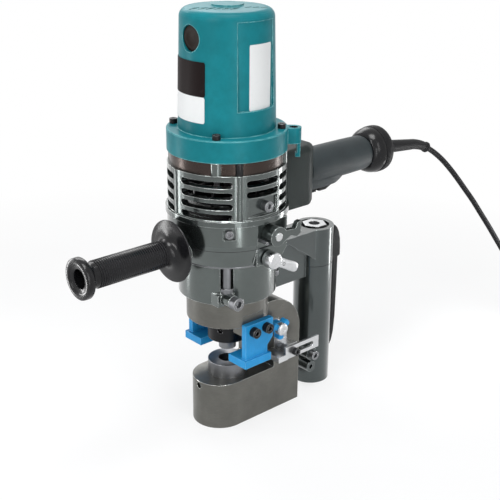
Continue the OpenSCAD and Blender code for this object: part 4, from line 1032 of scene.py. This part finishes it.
# %% [markdown]
# ## Painted shade in the top slits
# Air leaves through slits in the top of the cup, which look black because their insides lie in shade. The
# solids have them cut through, but the lamp above lights their painted walls, so a slab of dull black lies in
# each as painted shade.

# %% Painted shade in the top slits
CUP_TOP, SLIT_SHADE_LOW, SLIT_SHADE_HIGH, SLIT_SHADE_ROUND = 525.0, -1.6, -0.1, 0.1
SLIT = [(-5.0, -1.6), (5.0, -1.6), (5.0, 1.6), (-5.0, 1.6)]
SLIT_STEP, ROW_STEP, ROW_SHIFT = 9, 7.5, 3
ROWS_TURN, SLIT_TURN = (Matrix.Rotation(math.radians(angle), 4, "Z") for angle in (-42, 35))
slit_spots = [(SLIT_STEP * i - 34 - ROW_SHIFT * row, -13 - ROW_STEP * row) for row in (0, 1) for i in range(6)]
slit_spots += [(24 + SLIT_STEP * i, -5) for i in range(3)]
# A black slab in each slit paints the shade inside it.
bm = bmesh.new()
for x, y in slit_spots:
    spot = moved(ROWS_TURN, x, y, CUP_TOP) @ SLIT_TURN
    soften(bm, prism(bm, SLIT, SLIT_SHADE_LOW, SLIT_SHADE_HIGH, spot), SLIT_SHADE_ROUND, 3)
slit_shade_piece = add_piece("vent_slit_shade", bm, "felt")
print("slits with felt:", len(slit_spots))

# %% [markdown]
# ## Rear guard
# Behind the column a moulded hood carries a strap, which hangs clear of the column and tapers to its end.
# Both follow the round column, so they are lofted from level sections with the column's curve inside and a
# rounded box outside.

# %% Rear guard
COLUMN_FIT = 0.05
STRAP_GAP = 2.2
SQUARE = 0.22  # the power that makes the outside a rounded box; 1 would make it an ellipse
rear_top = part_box("rear_guard")[1][2] / MM


def round_column(bm, levels):
    """Closes a loft of level sections, each (height, gap to the column, furthest x, half width)."""
    rings = []
    for z, gap, out, half in levels:
        inside = [half * (k / 6 - 1) for k in range(13)]
        points = [(COLUMN_X + math.sqrt((COLUMN_R + COLUMN_FIT + gap) ** 2 - y ** 2), y) for y in inside]
        side_x = points[0][0]
        for turn in [math.pi * (0.5 - k / 16) for k in range(1, 16)]:
            points.append((side_x + (out - side_x) * math.cos(turn) ** SQUARE,
                           half * math.copysign(abs(math.sin(turn)) ** SQUARE, turn)))
        rings.append([bm.verts.new(Vector((x, y, z)) * MM) for x, y in points])
    for low, high in zip(rings, rings[1:]):
        wall(bm, low, high)
    bm.faces.new(rings[0][::-1])
    bm.faces.new(rings[-1])


bm = bmesh.new()
hood = [(46, 190.8, 14.2), (44.5, 191.8, 15), (32, 191.8, 15), (20, 190.8, 14.8), (11, 188.6, 14.4),
        (5, 185.8, 13.8), (1.6, 183, 12.8), (0, 181, 11.4)]
strap = [(32, 183, 3), (37, 184.4, 6), (47, 185.8, 9.5), (62, 186.8, 12), (86, 187.5, 13.4), (140, 187.9, 14),
         (rear_top - 40, 187.9, 14)]
round_column(bm, [(rear_top - down, 0, out, half) for down, out, half in hood])
round_column(bm, [(z, STRAP_GAP, out, half) for z, out, half in strap])
rear = add_piece("rear_guard_piece", bm, "rubber")
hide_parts("rear_guard")
print("rear guard:", len(rear.data.polygons), "faces")

# %% [markdown]
# ## Finishes on the solids
# Most solids keep their CAD mesh and only take a finish. The names follow the record's slots, and a few
# pieces take a variant of their slot, such as the column's darker paint.

# %% Finishes on the solids
own_finish = {
    "reservoir": "column_paint", "handle_bracket": "bracket_plastic", "tie_bolts": "tool_steel",
    "lock_bolt": "tool_steel", "port_plugs": "tool_steel", "gauge_bracket": "bright_steel"}
for name, node in nodes.items():
    node.data.materials.clear()
    node.data.materials.append(finishes[own_finish.get(name, slot_of[name])])
print("solids finished:", len(nodes))
